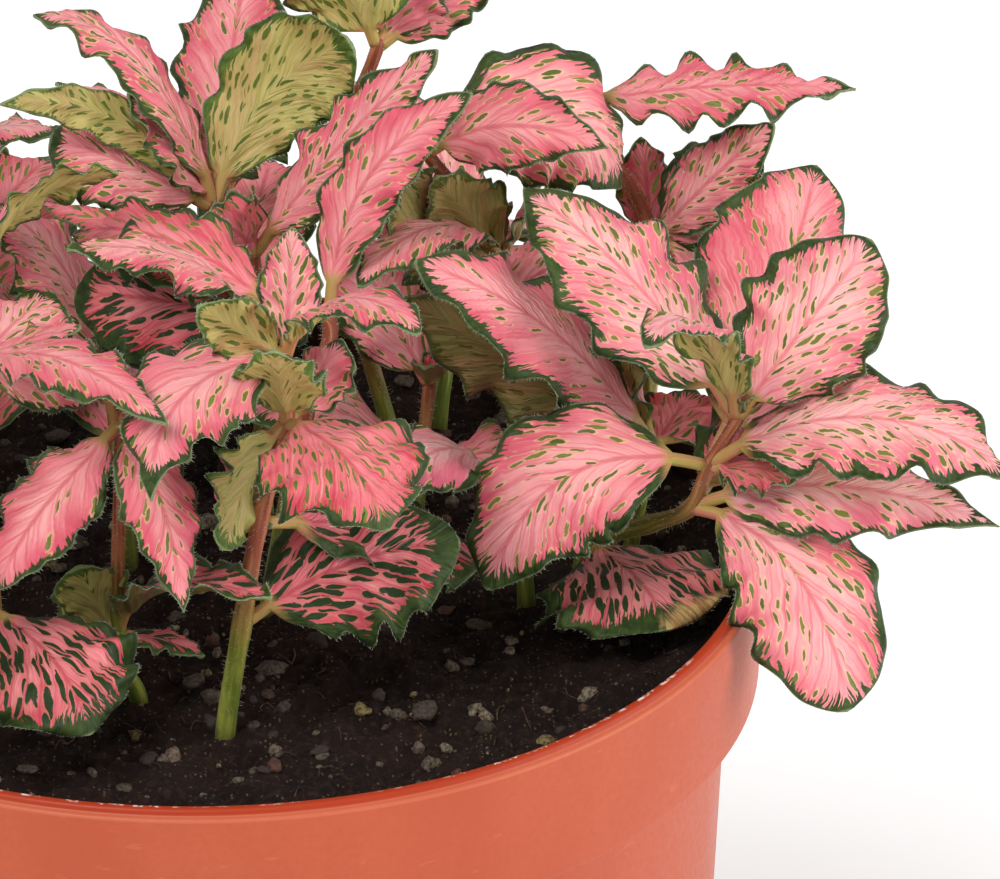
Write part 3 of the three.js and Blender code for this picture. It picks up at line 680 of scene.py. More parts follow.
def leaf_frames(one, base, u):
    """Places, upward directions and crosswise directions of a leaf at shares u of its length."""
    base, tip = np.asarray(base, float), np.asarray(one["tip"], float)
    length = np.linalg.norm(tip - base)
    ahead = (tip - base) / length
    over = UP - ahead * ahead[2]
    if np.linalg.norm(over) < 0.05:
        over = np.array([0.0, -1.0, 0.0]) + ahead * ahead[1]
    over = turned(unit(over), ahead, np.radians(one["roll"]))
    side = np.cross(ahead, over)
    reach, sway = CONTROL_SHARE * length, side * one["sway"] * length
    lift, droop = math.radians(one["lift"]), math.radians(one["droop"])
    first = base + reach * (ahead * math.cos(lift) + over * math.sin(lift)) + sway
    second = tip + reach * (over * math.sin(droop) - ahead * math.cos(droop)) + sway
    t = np.asarray(u, float)[:, None]
    place = (1 - t) ** 3 * base + 3 * t * (1 - t) ** 2 * first + 3 * t * t * (1 - t) * second + t**3 * tip
    along = unit((1 - t) ** 2 * (first - base) + 2 * t * (1 - t) * (second - first) + t * t * (tip - second))
    up = unit(np.cross(np.broadcast_to(side, along.shape), along))
    return place, up, np.cross(along, up)


# %% The plain blade, as the solids have it
BASE_TAPER = 0.72
HALF_AT_STALK = 0.9
HALF_AT_TIP = 0.25
RUFFLE_HEIGHT = 1.1


def outline(x, taper):
    """Half the width of a blade of width 2 at a share of its length; a small taper gives a blunt tip."""
    x = np.clip(x, 0, 1)
    widest = BASE_TAPER / (BASE_TAPER + taper)
    return (x / widest) ** BASE_TAPER * ((1 - x) / (1 - widest)) ** taper


def plain_blade(one, x):
    """Half widths, and the ruffle of the left and right margins, at blade shares x."""
    seed = one["seed"]
    wave = 1 + 0.05 * np.sin(TURN * ((4 + draw(seed, 0)) * x + draw(seed, 1)))
    half = HALF_AT_STALK * (1 - x) + HALF_AT_TIP * x + one["width"] / 2 * outline(x, one["taper"]) * wave
    swell = RUFFLE_HEIGHT * min(1, one["width"] / FULL_WIDTH) * np.sqrt(np.maximum(0, np.sin(math.pi * x)))
    ruffles = [swell * np.sin(TURN * ((2.6 + 1.2 * draw(seed, 4 + k)) * x + draw(seed, 2 + k))) for k in (0, 1)]
    return half, ruffles


def plain_points(one, base, u, v):
    """Points of the plain middle surface, rows along the leaf and columns across it."""
    place, up, across = leaf_frames(one, base, u)
    x = np.clip((np.asarray(u) - STALK_SHARE) / (1 - STALK_SHARE), 0, 1)
    half, ruffles = plain_blade(one, x)
    v = np.asarray(v)[None, :, None]
    ruffle = np.where(v < 0, ruffles[0][:, None, None], ruffles[1][:, None, None])
    half = half[:, None, None]
    return place[:, None] + across[:, None] * v * half + up[:, None] * v * v * (ruffle + one["cup"] * half)


print("a usual blade is widest at", round(BASE_TAPER / (BASE_TAPER + 0.8), 2), "of its length")

# %% [markdown]
# The fine blade starts from the plain one and adds its detail in the leaf's own directions. Four layers go with
# its points for the finish: where a point lies on the leaf, how far along and beside the veins it is, what kind of
# leaf it is, and its seed. The side veins leave the midrib at a sharp angle and curve outwards, so a point's vein
# number falls as it moves away from the midrib.

# %% Looks and waved margins
# The tone also browns the underside of deep leaves, as painted shade.
LOOKS = {  # tone from fair to deep, share of spots, wear of the margin
    "fair": (0.2, 0.75, 0.0),
    "pale": (0.05, 0.3, 0.0),
    "warm": (0.45, 0.6, 0.0),
    "rose": (0.6, 0.4, 0.0),
    "deep": (0.85, 0.75, 0.0),
    "plain": (0.8, 0.15, 0.0),
    "dark": (1.0, 1.0, 0.0),
    "worn": (0.8, 1.0, 1.0),
}
SCALLOPS = ((0.055, 5.3), (0.015, 9.0))  # share of the width, waves along the leaf
FLUTTERS = ((0.95, 5.1), (0.35, 8.7))  # height in millimetres, waves along the leaf


def waved_margin(seed, waves, k, x):
    """How far the left (0) or right (1) margin is scalloped outwards and flutters up and down, at shares x."""
    starts = [TURN * draw(seed, 20 + 4 * k + i) for i in range(4)]
    scallop, flutter = (
        sum(height * np.sin(TURN * count * x + start) for (height, count), start in zip(kind, own_starts))
        for kind, own_starts in ((SCALLOPS, starts[:2]), (FLUTTERS, starts[2:]))
    )
    return waves * scallop, flutter


print("looks:", ", ".join(LOOKS))

# %% The fine blade
BLADE_ROWS = 58
BLADE_COLUMNS = 19
STALK_ROWS = 4
STALK_WIDTH = 1.35
BLADE_THICKNESS = 0.4
RIB_HEIGHT = 0.7
RIB_WIDTH = 0.6
VEIN_SPACING = 2.7
VEIN_SLANT = 1.7
VEIN_CURVE = 0.75
VEIN_START = 0.04
PUCKER = 0.22
GROOVE = 0.3
GROOVE_WIDTH = 0.7


def fine_leaf(one, base, rows=BLADE_ROWS, columns=BLADE_COLUMNS):
    """Points, faces, layers and margin lines of one finished leaf."""
    seed, wide = one["seed"], one["width"] / 2
    length = float(np.linalg.norm(np.asarray(one["tip"], float) - np.asarray(base, float)))
    blade_length = length * (1 - STALK_SHARE)
    blade_u = STALK_SHARE + (1 - STALK_SHARE) * (1 - (1 - np.linspace(0, 1, rows)) ** 1.5)
    u = np.concatenate([np.linspace(0.4 / length, STALK_SHARE, STALK_ROWS + 1)[:-1], blade_u])
    t = np.linspace(-1, 1, columns)
    v = (np.sign(t) * np.abs(t) ** 0.85)[None, :]
    place, up, across = leaf_frames(one, base, u)
    flat_x = np.clip((u - STALK_SHARE) / (1 - STALK_SHARE), 0, 1)
    half, ruffles = plain_blade(one, flat_x)
    size = min(1.0, one["width"] / FULL_WIDTH) * one["waves"]
    fade = np.sqrt(np.maximum(0, np.sin(math.pi * flat_x)))
    margins = [waved_margin(seed, one["waves"], k, flat_x) for k in (0, 1)]

    def sided(left, right):
        """Values of the left margin for the left columns, and of the right for the others."""
        return np.where(v >= 0, right[:, None], left[:, None])

    x, half = flat_x[:, None], (half - 0.2)[:, None]
    far = np.abs(v)
    y = v * half * (1 + sided(fade * margins[0][0], fade * margins[1][0]) * far**2)
    rise = far**2 * (sided(*ruffles) + one["cup"] * half)
    rise = rise + far**4 * size * sided(fade * margins[0][1], fade * margins[1][1])
    # The veins: number along the midrib, and run along the vein itself
    away = np.abs(y) / wide
    behind = (away + VEIN_START) ** VEIN_CURVE - VEIN_START**VEIN_CURVE
    vein = x * blade_length - VEIN_SLANT * wide * behind
    pucker = PUCKER * size * np.cos(TURN * vein / VEIN_SPACING) * np.clip(away * 4, 0, 1) * (1 - far**4)
    blade_share = np.clip(x * 12, 0, 1)
    groove = GROOVE * np.exp(-((y / GROOVE_WIDTH) ** 2)) * (1 - x) * blade_share
    rise = rise + (pucker - groove) * blade_share
    middle = place[:, None] + across[:, None] * y[..., None] + up[:, None] * rise[..., None]
    # The thickness: a round stalk that becomes a thin blade with a rib beneath
    round_part = STALK_WIDTH * np.sqrt(np.maximum(0, 1 - far**2))
    thick = round_part * (1 - blade_share) + BLADE_THICKNESS * (1 - far**8) * blade_share
    rib = RIB_HEIGHT * np.exp(-((y / RIB_WIDTH) ** 2)) * (1 - x) ** 0.7
    top = middle + up[:, None] * (thick / 2)[..., None]
    under = middle - up[:, None] * (thick / 2 + rib * blade_share)[..., None]
    # Both sheets share the margin columns, so the blade closes on itself
    n, m = y.shape

    def both(sheet):
        """Rows for the points of the upper sheet, then for the inner points of the lower one."""
        return np.concatenate([sheet[0].reshape(-1, 3), sheet[-1][:, 1:-1].reshape(-1, 3)])

    def layer(*values):
        return both([np.stack([np.broadcast_to(value, (n, m)) for value in values], axis=-1)])

    edge = np.minimum(half * (1 - far), (1 - x) * blade_length * 0.7)
    tone, spots, wear = LOOKS[one["look"]] if isinstance(one["look"], str) else one["look"]
    worn = wear * np.clip(0.6 - v, 0, 1) * np.clip((x - 0.35) * 2.5, 0, 1)
    layers = {
        "lie": layer(x * blade_length, y, edge),
        "run": layer(vein, 2.0 * np.abs(y), wide),
        "extra": layer(seed * 1.37 % 97, np.clip(1 - x * 14, 0, 1), worn),
        "kind": layer(tone, spots, 0.0),
    }
    layers["kind"][n * m :, 2] = 1
    top_index = np.arange(n * m).reshape(n, m)
    under_index = top_index.copy()
    under_index[:, 1:-1] = n * m + np.arange(n * (m - 2)).reshape(n, m - 2)
    quads = grid_faces(n, m)
    faces = top_index.ravel()[quads].tolist() + under_index.ravel()[quads[:, [0, 3, 2, 1]]].tolist()
    faces.append([*top_index[0, ::-1], *under_index[0, 1:-1]])
    faces.append([*top_index[-1], *under_index[-1, -2:0:-1]])
    lines = [(middle[:, j], across * sign, up) for j, sign in ((0, -1.0), (m - 1, 1.0))]
    return both([top, under]), faces, layers, lines


sample = fine_leaf(leaf(0, (30, 0, 8), 16, seed=1), (0, 0, 0))
print("one fine leaf:", len(sample[0]), "points,", len(sample[1]), "faces")

# %% [markdown]
# ## Stems
#
# A stem is a smooth curve through its foot and its nodes, where the leaves sit in pairs. The curve is the same one
# that the solids use, so stems and leaves meet. Nodes swell a little, and the tip is rounded off.

# %% The curve and skin of a stem
ROOT_LEVEL = 86.0
STEM_FOOT_RADIUS = 1.3
STEM_TOP_RADIUS = 0.7
STEM_END = 1.2
STEM_SIDES = 12
STEPS_PER_SPAN = 9
NODE_SWELL = 0.16
NODE_SHARPNESS = 6
TIP_ROUNDING = (0.8, 0.35)


def stem_points(shoot, spans):
    """Points of a stem at positions counted in spans from its root point."""
    x, y = shoot["foot"]
    knots = np.array([(x, y, ROOT_LEVEL), (x, y, SOIL_LEVEL)] + shoot["nodes"], float)
    padded = np.vstack([2 * knots[0] - knots[1], knots, 2 * knots[-1] - knots[-2]])
    spans = np.clip(np.asarray(spans, float), 0, len(knots) - 1)
    i = np.minimum(spans.astype(int), len(knots) - 2)
    t = (spans - i)[:, None]
    before, here, there, after = padded[i], padded[i + 1], padded[i + 2], padded[i + 3]
    leave, arrive = (there - before) / 2, (after - here) / 2
    from_here = (2 * t**3 - 3 * t**2 + 1) * here + (t**3 - 2 * t**2 + t) * leave
    return from_here + (3 * t**2 - 2 * t**3) * there + (t**3 - t**2) * arrive


def fine_stem(shoot, seed):
    """Points, faces and layers of a stem, and its path with radii for the hairs."""
    spans = len(shoot["nodes"]) + 1
    position = np.linspace(0.2, spans, spans * STEPS_PER_SPAN)
    path = stem_points(shoot, position)
    end = unit(path[-1] - path[-2]) * STEM_END
    path = np.vstack([path, path[-1] + end * 0.6, path[-1] + end])
    position = np.concatenate([position, [spans, spans]])
    radii = STEM_FOOT_RADIUS + (STEM_TOP_RADIUS - STEM_FOOT_RADIUS) * position / spans
    to_node = np.abs(position - np.round(position))
    radii = radii * (0.92 + NODE_SWELL * np.exp(-((to_node * NODE_SHARPNESS) ** 2)) * (position > 1.3))
    radii[-2:] = radii[-3] * np.array(TIP_ROUNDING)
    points, faces = tube(path, radii, STEM_SIDES)
    around = 7 * np.concatenate([[0], np.tile(np.arange(STEM_SIDES) / STEM_SIDES, len(path)), [0]])
    height = np.concatenate([path[:1, 2], np.repeat(path[:, 2], STEM_SIDES), path[-1:, 2]]) - SOIL_LEVEL

    def layer(*values):
        return np.stack([np.broadcast_to(value, height.shape) for value in values], axis=-1)

    layers = {
        "lie": layer(height, around, 9.0),
        "run": layer(around, height, 8.0),
        "kind": layer(0.5, 0.0, 0.0),
        "extra": layer(seed * 1.37 % 97, 2.0, height),
    }
    return points, faces, layers, (path, radii)


print("a stem is", STEM_SIDES, "sided and thins from", STEM_FOOT_RADIUS, "to", STEM_TOP_RADIUS, "mm in radius")

# %% [markdown]
# ## Where the shoots stand
#
# The photograph shows eleven cuttings well enough to place each leaf, tip by tip. They are listed with the
# foot of the stem, the nodes up the stem, and for each leaf its node, tip, width, look and bend.

# %% The placed shoots on the right
PLACED = []


def placed(name, foot, nodes, *leaves):
    """Lists a shoot and gives each of its leaves a seed of its own."""
    for i, one in enumerate(leaves):
        one["seed"] = len(PLACED) * 17 + i * 3 + 1
    PLACED.append(dict(name=name, foot=foot, nodes=nodes, leaves=list(leaves)))


placed(
    "shoot_right", (40, -2), [(41, -3, 104), (47, -8, 109), (51, -12, 113), (53, -12, 118), (56, -11, 123)],
    leaf(0, (48.5, -19, 102), 22, "worn", 0, 15, 30, taper=0.6, waves=0.5),
    leaf(3, (29, -22, 109), 15, (0.55, 0.45, 0.0), -45, 25, 35, sway=0.28, taper=0.75),
    leaf(2, (67, -25, 95), 16, (0.5, 0.5, 0.0), 25, 50, 30, sway=-0.15, taper=0.55),
    leaf(2, (84, -14, 111), 10.5, "pale", 45, 40, 20, sway=-0.08, taper=1.2),
    leaf(3, (84, -20, 120), 14, "fair", 20, 40, 50, sway=-0.08),
    leaf(3, (62, -16, 118), 8, "deep", 0, 10, 20),
    leaf(4, (34, 5, 143), 15.5, "fair", -15, 20, 20, taper=0.85, waves=0.6),
    leaf(3, (66.5, 18, 138.8), 19.5, "rose", 40, 15, 15, taper=0.7),
    leaf(4, (70.4, -6, 141.4), 14.5, "fair", 50, 20, 20, taper=0.65),
    leaf(4, (45.1, -26, 139.3), 9, "fair", 0, 40, 70),
    leaf(2, (68, 8, 122), 12, "dark", 0, 10, 10),
)
placed(
    "shoot_centre", (46, 8), [(48, 2, 113)],
    leaf(0, (22, -6, 140), 13.5, (0.5, 0.15, 0.0), -35, taper=0.75),
    leaf(0, (21, 3, 131.3), 12, (0.9, 0.5, 0.0), 80, 10, 10),
    leaf(0, (53, 12, 115), 12, "deep", 0, 0, 0),
    leaf(0, (43, 12, 128), 14, "warm", 80, 0, 0),
)
placed(
    "shoot_spur", (34, -4), [(33, -3, 104), (28, -4, 115)],
    leaf(1, (18, -19, 119), 10, "pale", -20, 40, 50),
)
print("placed on the right:", sum(len(s["leaves"]) for s in PLACED), "leaves")

# %% The placed shoots in front and on the left
placed(
    "shoot_front", (1, -31), [(3, -32, 111), (5, -30, 122), (8, -27, 132), (8, -26, 139)],
    leaf(0, (26, -24, 116), 16, "dark", 40, 15, 15, sway=-0.08, taper=0.65),
    leaf(1, (29, -10, 106), 14, "dark", 25, 10, 20),
    leaf(2, (18, -42, 127), 19, (1.0, 0.7, 0.0), 0, 30, 40, taper=0.9),
    leaf(2, (1, -36, 122), 12, "pale", 90, 30, 20),
    leaf(3, (-6, -42, 131), 12.5, (0.5, 0.5, 0.0), -15, 30, 50, taper=1.25, sway=0.2),
    leaf(2, (6.7, -37, 145.4), 9, "warm", 0, 15, 10),
    leaf(2, (14, -20, 138), 8, "rose", 0, 0, 0),
    leaf(3, (-1, -30, 147), 6, "warm", 90, 10, 10),
    leaf(3, (21.4, -40, 148.3), 9, "rose", 0, 50, 60),
    leaf(3, (9, -20, 151), 6, "fair", 0, 0, 0),
)
placed(
    "shoot_left", (-8, -23), [(-10, -25, 106), (-9, -26, 132)],
    leaf(0, (6, -41, 119), 8, "dark", 0, 50, 20, cup=0.2),
    leaf(0, (-14, -26, 115), 8, "pale", 70, 10, 20, taper=0.5),
    leaf(0, (-1, -28, 105), 4, "dark", 0, 20, 30),
    leaf(1, (-22, -38, 119), 9.5, (0.6, 0.1, 0.0), -10, 10, 30),
    leaf(1, (-3, -40, 117), 7.5, "rose", 0, 40, 30, taper=1.1),
)
placed(
    "shoot_far_left", (-24, -24), [(-23, -30, 112), (-24, -20, 136), (-24, -10, 142)],
    leaf(0, (-13, -44, 105), 19, "dark", 0, 30, 50, taper=0.7),
    leaf(1, (-4.2, -41, 139.2), 8, "rose", 10, 30, 30, taper=1),
    leaf(1, (-10, -20, 133), 7, "warm", 60, 10, 10),
    leaf(1, (-16, -10, 139), 12, "warm", 0, 10, 10),
    leaf(1, (-13, -20, 140), 6, "rose", 0, 10, 10),
    leaf(2, (-9, 0, 148), 8, "warm", -55, 40, 40),
)
placed(
    "shoot_middle", (6, -4), [(10, -6, 121), (13, -4, 132), (6, -4, 133)],
    leaf(2, (-14, 2, 133), 13, "dark", -50, 10, 20, taper=0.6),
    leaf(2, (-14.5, -10, 144), 12, "warm", 0, 30, taper=0.9),
    leaf(2, (-14, 6, 138), 10.5, "deep", -20, 75, 50, waves=1.5),
    leaf(2, (-18, 10, 140), 4, "deep", -20, 20, 20),
    leaf(1, (28.4, 0, 156.6), 7.5, "rose", 45, 10, 10, sway=-0.2),
)
print("placed so far:", sum(len(s["leaves"]) for s in PLACED), "leaves")

# %% The placed shoots at the top and behind
placed(
    "shoot_high", (6, 14), [(5, 12, 132), (1, 14, 137)],
    leaf(1, (16.1, 16, 155.3), 12.5, "fair", -120, 10, 40, sway=0.2, taper=0.45),
    leaf(1, (-21.5, 6, 153.5), 4.5, "warm", 115, 10, 20, taper=0.9, sway=-0.2),
    leaf(1, (-16.5, 14, 145.5), 12, "warm", -30, 10, 20, taper=0.5),
    leaf(1, (-18, 22, 156.5), 8, "warm", 0, 35, 60),
    leaf(1, (-8, 16, 150), 8, "warm", 0, 10, 10),
    leaf(1, (5.5, 36, 158.3), 12, "rose", 0, 10, 10),
    leaf(0, (25, 7, 158.5), 8.5, "warm", 50, 10, 10, waves=1.4),
    leaf(0, (-0.9, 4, 140.2), 8, "deep", -105, 10, 20, sway=0.15),
)
placed(
    "shoot_top", (22, 22), [(14, 22, 134), (19, 22, 152)],
    leaf(1, (13.5, 24, 168), 15, "fair", 90, 0, 0),
    leaf(1, (25, 28, 162), 9, "rose", 40, 0, 0),
    leaf(1, (33, 30, 160), 7, "rose", 40, 0, 0),
)
placed(
    "shoot_back", (34, 16), [(32, 14, 130), (24, 12, 144)],
    leaf(1, (43, 4, 148), 9, "rose", 60, 30, 30, sway=-0.15, taper=1.1, waves=1.3),
    leaf(1, (45, 16, 137.5), 16, "warm", 50, 50, 60, sway=-0.3),
    leaf(0, (39, 12, 145), 5, "deep", 0, 10, 10),
    leaf(0, (16.1, -4, 136), 9, "warm", 0, 50, 50),
    leaf(0, (19.5, 4, 141), 12, "plain", 110, 10, 20, taper=0.5),
    leaf(0, (24.9, 8, 143.2), 9, "plain", 70, 0, 10),
)
placed(
    "shoot_back_right", (48, 22), [(49, 24, 127), (40, 24, 144)],
    leaf(1, (71, 22, 146), 8.5, "rose", 20, 10, 10, taper=1.1, waves=2.4),
    leaf(0, (62, 20, 143), 8, "warm", 60, 10, 10),
    leaf(0, (61, 22, 138), 12, "rose", 60, 10, 10),
    leaf(0, (48, 28, 138), 6, "deep", 0, 10, 10),
    leaf(0, (64, 25, 125), 10, "warm", 60, 10, 10),
)
print("placed in all:", sum(len(s["leaves"]) for s in PLACED), "leaves on", len(PLACED), "shoots")

# %% [markdown]
# The rest of the pot isn't in view, so those shoots grow by a rule. Pairs of leaves are set crosswise up a leaning
# stem, and a leaf that would touch a neighbour turns aside, rises or stays smaller. The rule and its numbers are
# the ones that the solids were grown with, so both come out alike.

# %% The rule for the other shoots
GROWN = [  # name, foot, lean of the stem, height of its top, pairs of leaves, direction, length of a leaf
    ("shoot_west_front", (-36, -32), (-8, -9), 134, 3, 25, 29),
    ("shoot_west", (-45, -8), (-12, -3), 138, 3, 70, 31),
    ("shoot_west_inner", (-26, 6), (-8, 2), 136, 3, 10, 29),
    ("shoot_west_back", (-40, 20), (-12, 8), 140, 3, 120, 31),
    ("shoot_back_left", (-26, 36), (-9, 8), 122, 2, 60, 29),
    ("shoot_back_middle", (2, 42), (0, 9), 120, 2, 80, 28),
    ("shoot_back_far", (26, 38), (4, 9), 114, 2, 30, 28),
    ("shoot_inner_right", (22, 5), (2, 3), 118, 2, 35, 25),
    ("shoot_inner_left", (-9, 8), (-2, 5), 118, 2, 60, 26),
]
NEIGHBOUR_GAP = 3.0
OWN_GAP = 2.0
RIM_CLEARANCE = 2.0
SOLID_POT_HEIGHT = 104.6
SAMPLE_SHARES = [0.17 + 0.09 * i for i in range(10)]
BLADE_SAMPLES = [0.35 + 0.09 * i for i in range(8)]
SAMPLE_COLUMNS = [-1, -0.5, 0, 0.5, 1]
SIZES = (1, 0.85, 0.7)
RISES = (0, 10, -10, 22, -18)
ASIDES = (0, 12, -12, 24, -24, 38, -38, 52, -52)


def samples_of(one, base, shares):
    return plain_points(one, base, shares, SAMPLE_COLUMNS).reshape(-1, 3)


def apart(points, others, distance):
    """Whether every point is further than a distance from all others."""
    return not len(others) or np.linalg.norm(points[:, None] - others[None], axis=-1).min() > distance


def clear_of_pot(points):
    """Whether all points are clear of the soil and of the rim round it."""
    radius = np.hypot(points[:, 0], points[:, 1])
    lowest = np.where(radius < RIM_RADIUS - 8, SOIL_LEVEL, SOLID_POT_HEIGHT)
    return np.all((radius > RIM_RADIUS + RIM_CLEARANCE) | (points[:, 2] > lowest + RIM_CLEARANCE))


def find_room(wish, base, neighbours, own):
    """The first size, rise and turn at which a leaf touches nothing, or nothing at all."""
    for size, rise, side in itertools.product(SIZES, RISES, ASIDES):
        turn, climb = math.radians(wish["turn"] + side), math.radians(wish["climb"] + rise)
        length = wish["length"] * size
        reach = length * math.cos(climb)
        tip = np.array(base) + [reach * math.cos(turn), reach * math.sin(turn), length * math.sin(climb)]
        tried = leaf(wish["node"], tip, wish["width"] * size, **wish["habit"])
        points = samples_of(tried, base, SAMPLE_SHARES)
        if not clear_of_pot(points) or not apart(points, neighbours, NEIGHBOUR_GAP):
            continue
        if apart(samples_of(tried, base, BLADE_SAMPLES), own, OWN_GAP):
            return tried, points
    return None


# %% Grow the other shoots
def stem_of(spec):
    """A shoot of the rule with its stem alone, which leans outwards."""
    name, foot, lean, top, pairs = spec[:5]
    nodes = []
    for i in range(1, pairs + 1):
        share = i / pairs
        x, y = (foot[k] + lean[k] * share**1.5 for k in (0, 1))
        nodes.append((x, y, SOIL_LEVEL + (top - SOIL_LEVEL) * share))
    return dict(name=name, foot=foot, nodes=nodes, leaves=[])


def grow_leaves(shoot, spec, index, neighbours):
    """Sets pairs of leaves from the top of the stem down, and returns the points they fill."""
    pairs, turn, full_length = spec[4:]
    own = np.zeros((0, 3))
    for i, side in itertools.product(reversed(range(pairs)), (0, 1)):
        share = (i + 1) / pairs
        seed = index * 17 + (2 * i + side) * 3 + 1
        length = full_length * (0.8 + 0.25 * draw(seed, 10)) * (0.85 if share == 1 else 1)
        wish = dict(
            node=i,
            length=length,
            width=length * (0.5 + 0.1 * draw(seed, 11)),
            turn=turn + 90 * i + 180 * side + 24 * (draw(seed, 12) - 0.5),
            climb=2 + 36 * share + 14 * (draw(seed, 13) - 0.5),
            habit=dict(
                seed=seed,
                look=(1 - 0.8 * share + 0.3 * draw(seed, 18), 0.75 - 0.4 * share + 0.2 * draw(seed, 19), 0.0),
                roll=36 * (draw(seed, 14) - 0.5),
                lift=22 + 18 * draw(seed, 15),
                droop=25 + 25 * draw(seed, 16),
                sway=0.2 * (draw(seed, 17) - 0.5),
            ),
        )
        found = find_room(wish, shoot["nodes"][i], neighbours, own)
        if found:
            shoot["leaves"].append(found[0])
            own = np.concatenate([own, found[1]])
    return own


grown = [stem_of(spec) for spec in GROWN]
shoots = PLACED + grown
filled = [samples_of(one, s["nodes"][one["node"]], SAMPLE_SHARES) for s in PLACED for one in s["leaves"]]
for i, shoot in enumerate(grown):
    stems = [stem_points(s, np.arange(25) / 24 * (len(s["nodes"]) + 1)) for s in shoots if s is not shoot]
    filled.append(grow_leaves(shoot, GROWN[i], len(PLACED) + i, np.concatenate(filled + stems)))
print("grown:", {s["name"]: len(s["leaves"]) for s in grown})

# %% [markdown]
# ## The finish of a leaf
#
# The colour follows the veins. Fine streaks of fair, mid and deep pink run along them. Green shows through between
# them as long spots with yellowish halos, and the margin is dark green with teeth that point inwards along the
# veins. The same tree paints the olive underside, the stalk and the stem, which the layers tell apart.

# %% Streaks of the upper side
leafy = Finish("nerve_leaf", Specular_IOR_Level=0.25, Sheen_Weight=0.04, Sheen_Roughness=0.6)
lie_x, lie_y, edge = leafy.layer("lie")
vein, run, wide = leafy.layer("run")
tone, spots, underside = leafy.layer("kind")
offset, stalk, worn = leafy.layer("extra")


def pattern(x, y, z, detail=1.0, scale=1.0):
    """Noise at three coordinates, each a value or a number."""
    return leafy.noise(leafy.vector(x, y, z), scale, detail)


wander = pattern(lie_x * 0.3, lie_y * 0.3, offset, 2.0) - 0.5
bent_vein = vein + wander * 2.4
apart_sides = offset + lie_y * 0.1
fine_streak = pattern(bent_vein * 1.6, run * 0.16, apart_sides, 2.0)
broad_streak = pattern(bent_vein * 0.4, run * 0.06, apart_sides + 30.0, 2.0)
peach_streak = pattern(bent_vein * 1.9, run * 0.1, apart_sides + 60.0)
mood = pattern(lie_x * 0.1, lie_y * 0.13, offset + 47.0)

fair_pink = leafy.mix(tone, paint(246, 196, 190), paint(236, 138, 144))
mid_pink = leafy.mix(tone, paint(236, 150, 150), paint(214, 86, 100))
deep_pink = leafy.mix(tone, paint(226, 98, 126), paint(194, 38, 64))
rose_line = leafy.mix(tone, paint(222, 96, 110), paint(178, 38, 56))
blush = deep_pink.coat(mid_pink, fine_streak.ramp(0.24, 0.6, 0.12, 1.0))
blush = blush.coat(fair_pink, broad_streak.ramp(0.36, 0.7, 0.0, 0.75))
blush = blush.coat(paint(248, 206, 186), peach_streak.ramp(0.5, 0.72, 0.0, 0.4))
blush = blush.coat(deep_pink, mood.ramp(0.52, 0.7, 0.0, 0.65))
blush = blush.coat(fair_pink, mood.ramp(0.3, 0.48, 0.6, 0.0))
blush = blush.coat(deep_pink, edge.ramp(0.6, 5.2, 0.72, 0.0))
from_midrib = leafy.math("ABSOLUTE", lie_y)
from_centre = leafy.math("DIVIDE", from_midrib, wide)
pale_centre = leafy.math("MAXIMUM", from_centre.ramp(0.05, 0.6, 0.6, 0.0), lie_x.ramp(1.0, 12.0, 0.4, 0.0))
blush = blush.coat(fair_pink, pale_centre * fine_streak.ramp(0.3, 0.55, 0.5, 1.0))
midrib = from_midrib.ramp(0.1, 0.4, 0.6, 0.0) * edge.ramp(1.0, 3.0)
side_wave = leafy.math("COSINE", bent_vein * (TURN / VEIN_SPACING))
side_line = side_wave.ramp(-0.97, -0.8, 0.38, 0.0) * from_centre.ramp(0.6, 1.0, 1.0, 0.2)
blush = blush.coat(rose_line, leafy.math("MAXIMUM", midrib, side_line))

# %% Green between the veins
dark_kind = spots.ramp(0.76, 1.0)
rough_edge = pattern(lie_x, lie_y, offset, 2.0, 1.3) - 0.5
spot_vein = bent_vein + rough_edge * 0.8
spot_x = spot_vein * spots.ramp(0.76, 1.0, 0.62, 0.42) + offset * 7.3
spot_y = lie_y * spots.ramp(0.76, 1.0, 0.74, 0.68) + offset * 3.1
spot_distance, (spot_chance, spot_size, spot_shade) = leafy.cells(leafy.vector(spot_x, spot_y, 0.0), 1.0, 0.9)
share_of_spots = spots * 1.45 * from_centre.ramp(0.04, 0.35, 0.45, 1.0)
spot_there = (spot_chance - (1.0 - share_of_spots)).ramp(-0.01, 0.02) * side_wave.ramp(-0.97, -0.7)
bigness = spot_size * 0.19 + 0.17 + dark_kind * 0.17
inside_spot = bigness - (spot_distance + rough_edge * 0.12)
spot_mask = inside_spot.ramp(-0.01, 0.05) * spot_there
halo_mask = inside_spot.ramp(-0.2, 0.0, 0.0, 0.6) * spot_there
spot_green = leafy.mix(spot_shade, paint(122, 124, 50), paint(80, 96, 34)).coat(paint(34, 54, 20), dark_kind)
halo_colour = leafy.mix(tone.ramp(0.4, 0.95), paint(230, 194, 146), paint(206, 122, 100))
upper = blush.coat(halo_colour, halo_mask).coat(spot_green, spot_mask)

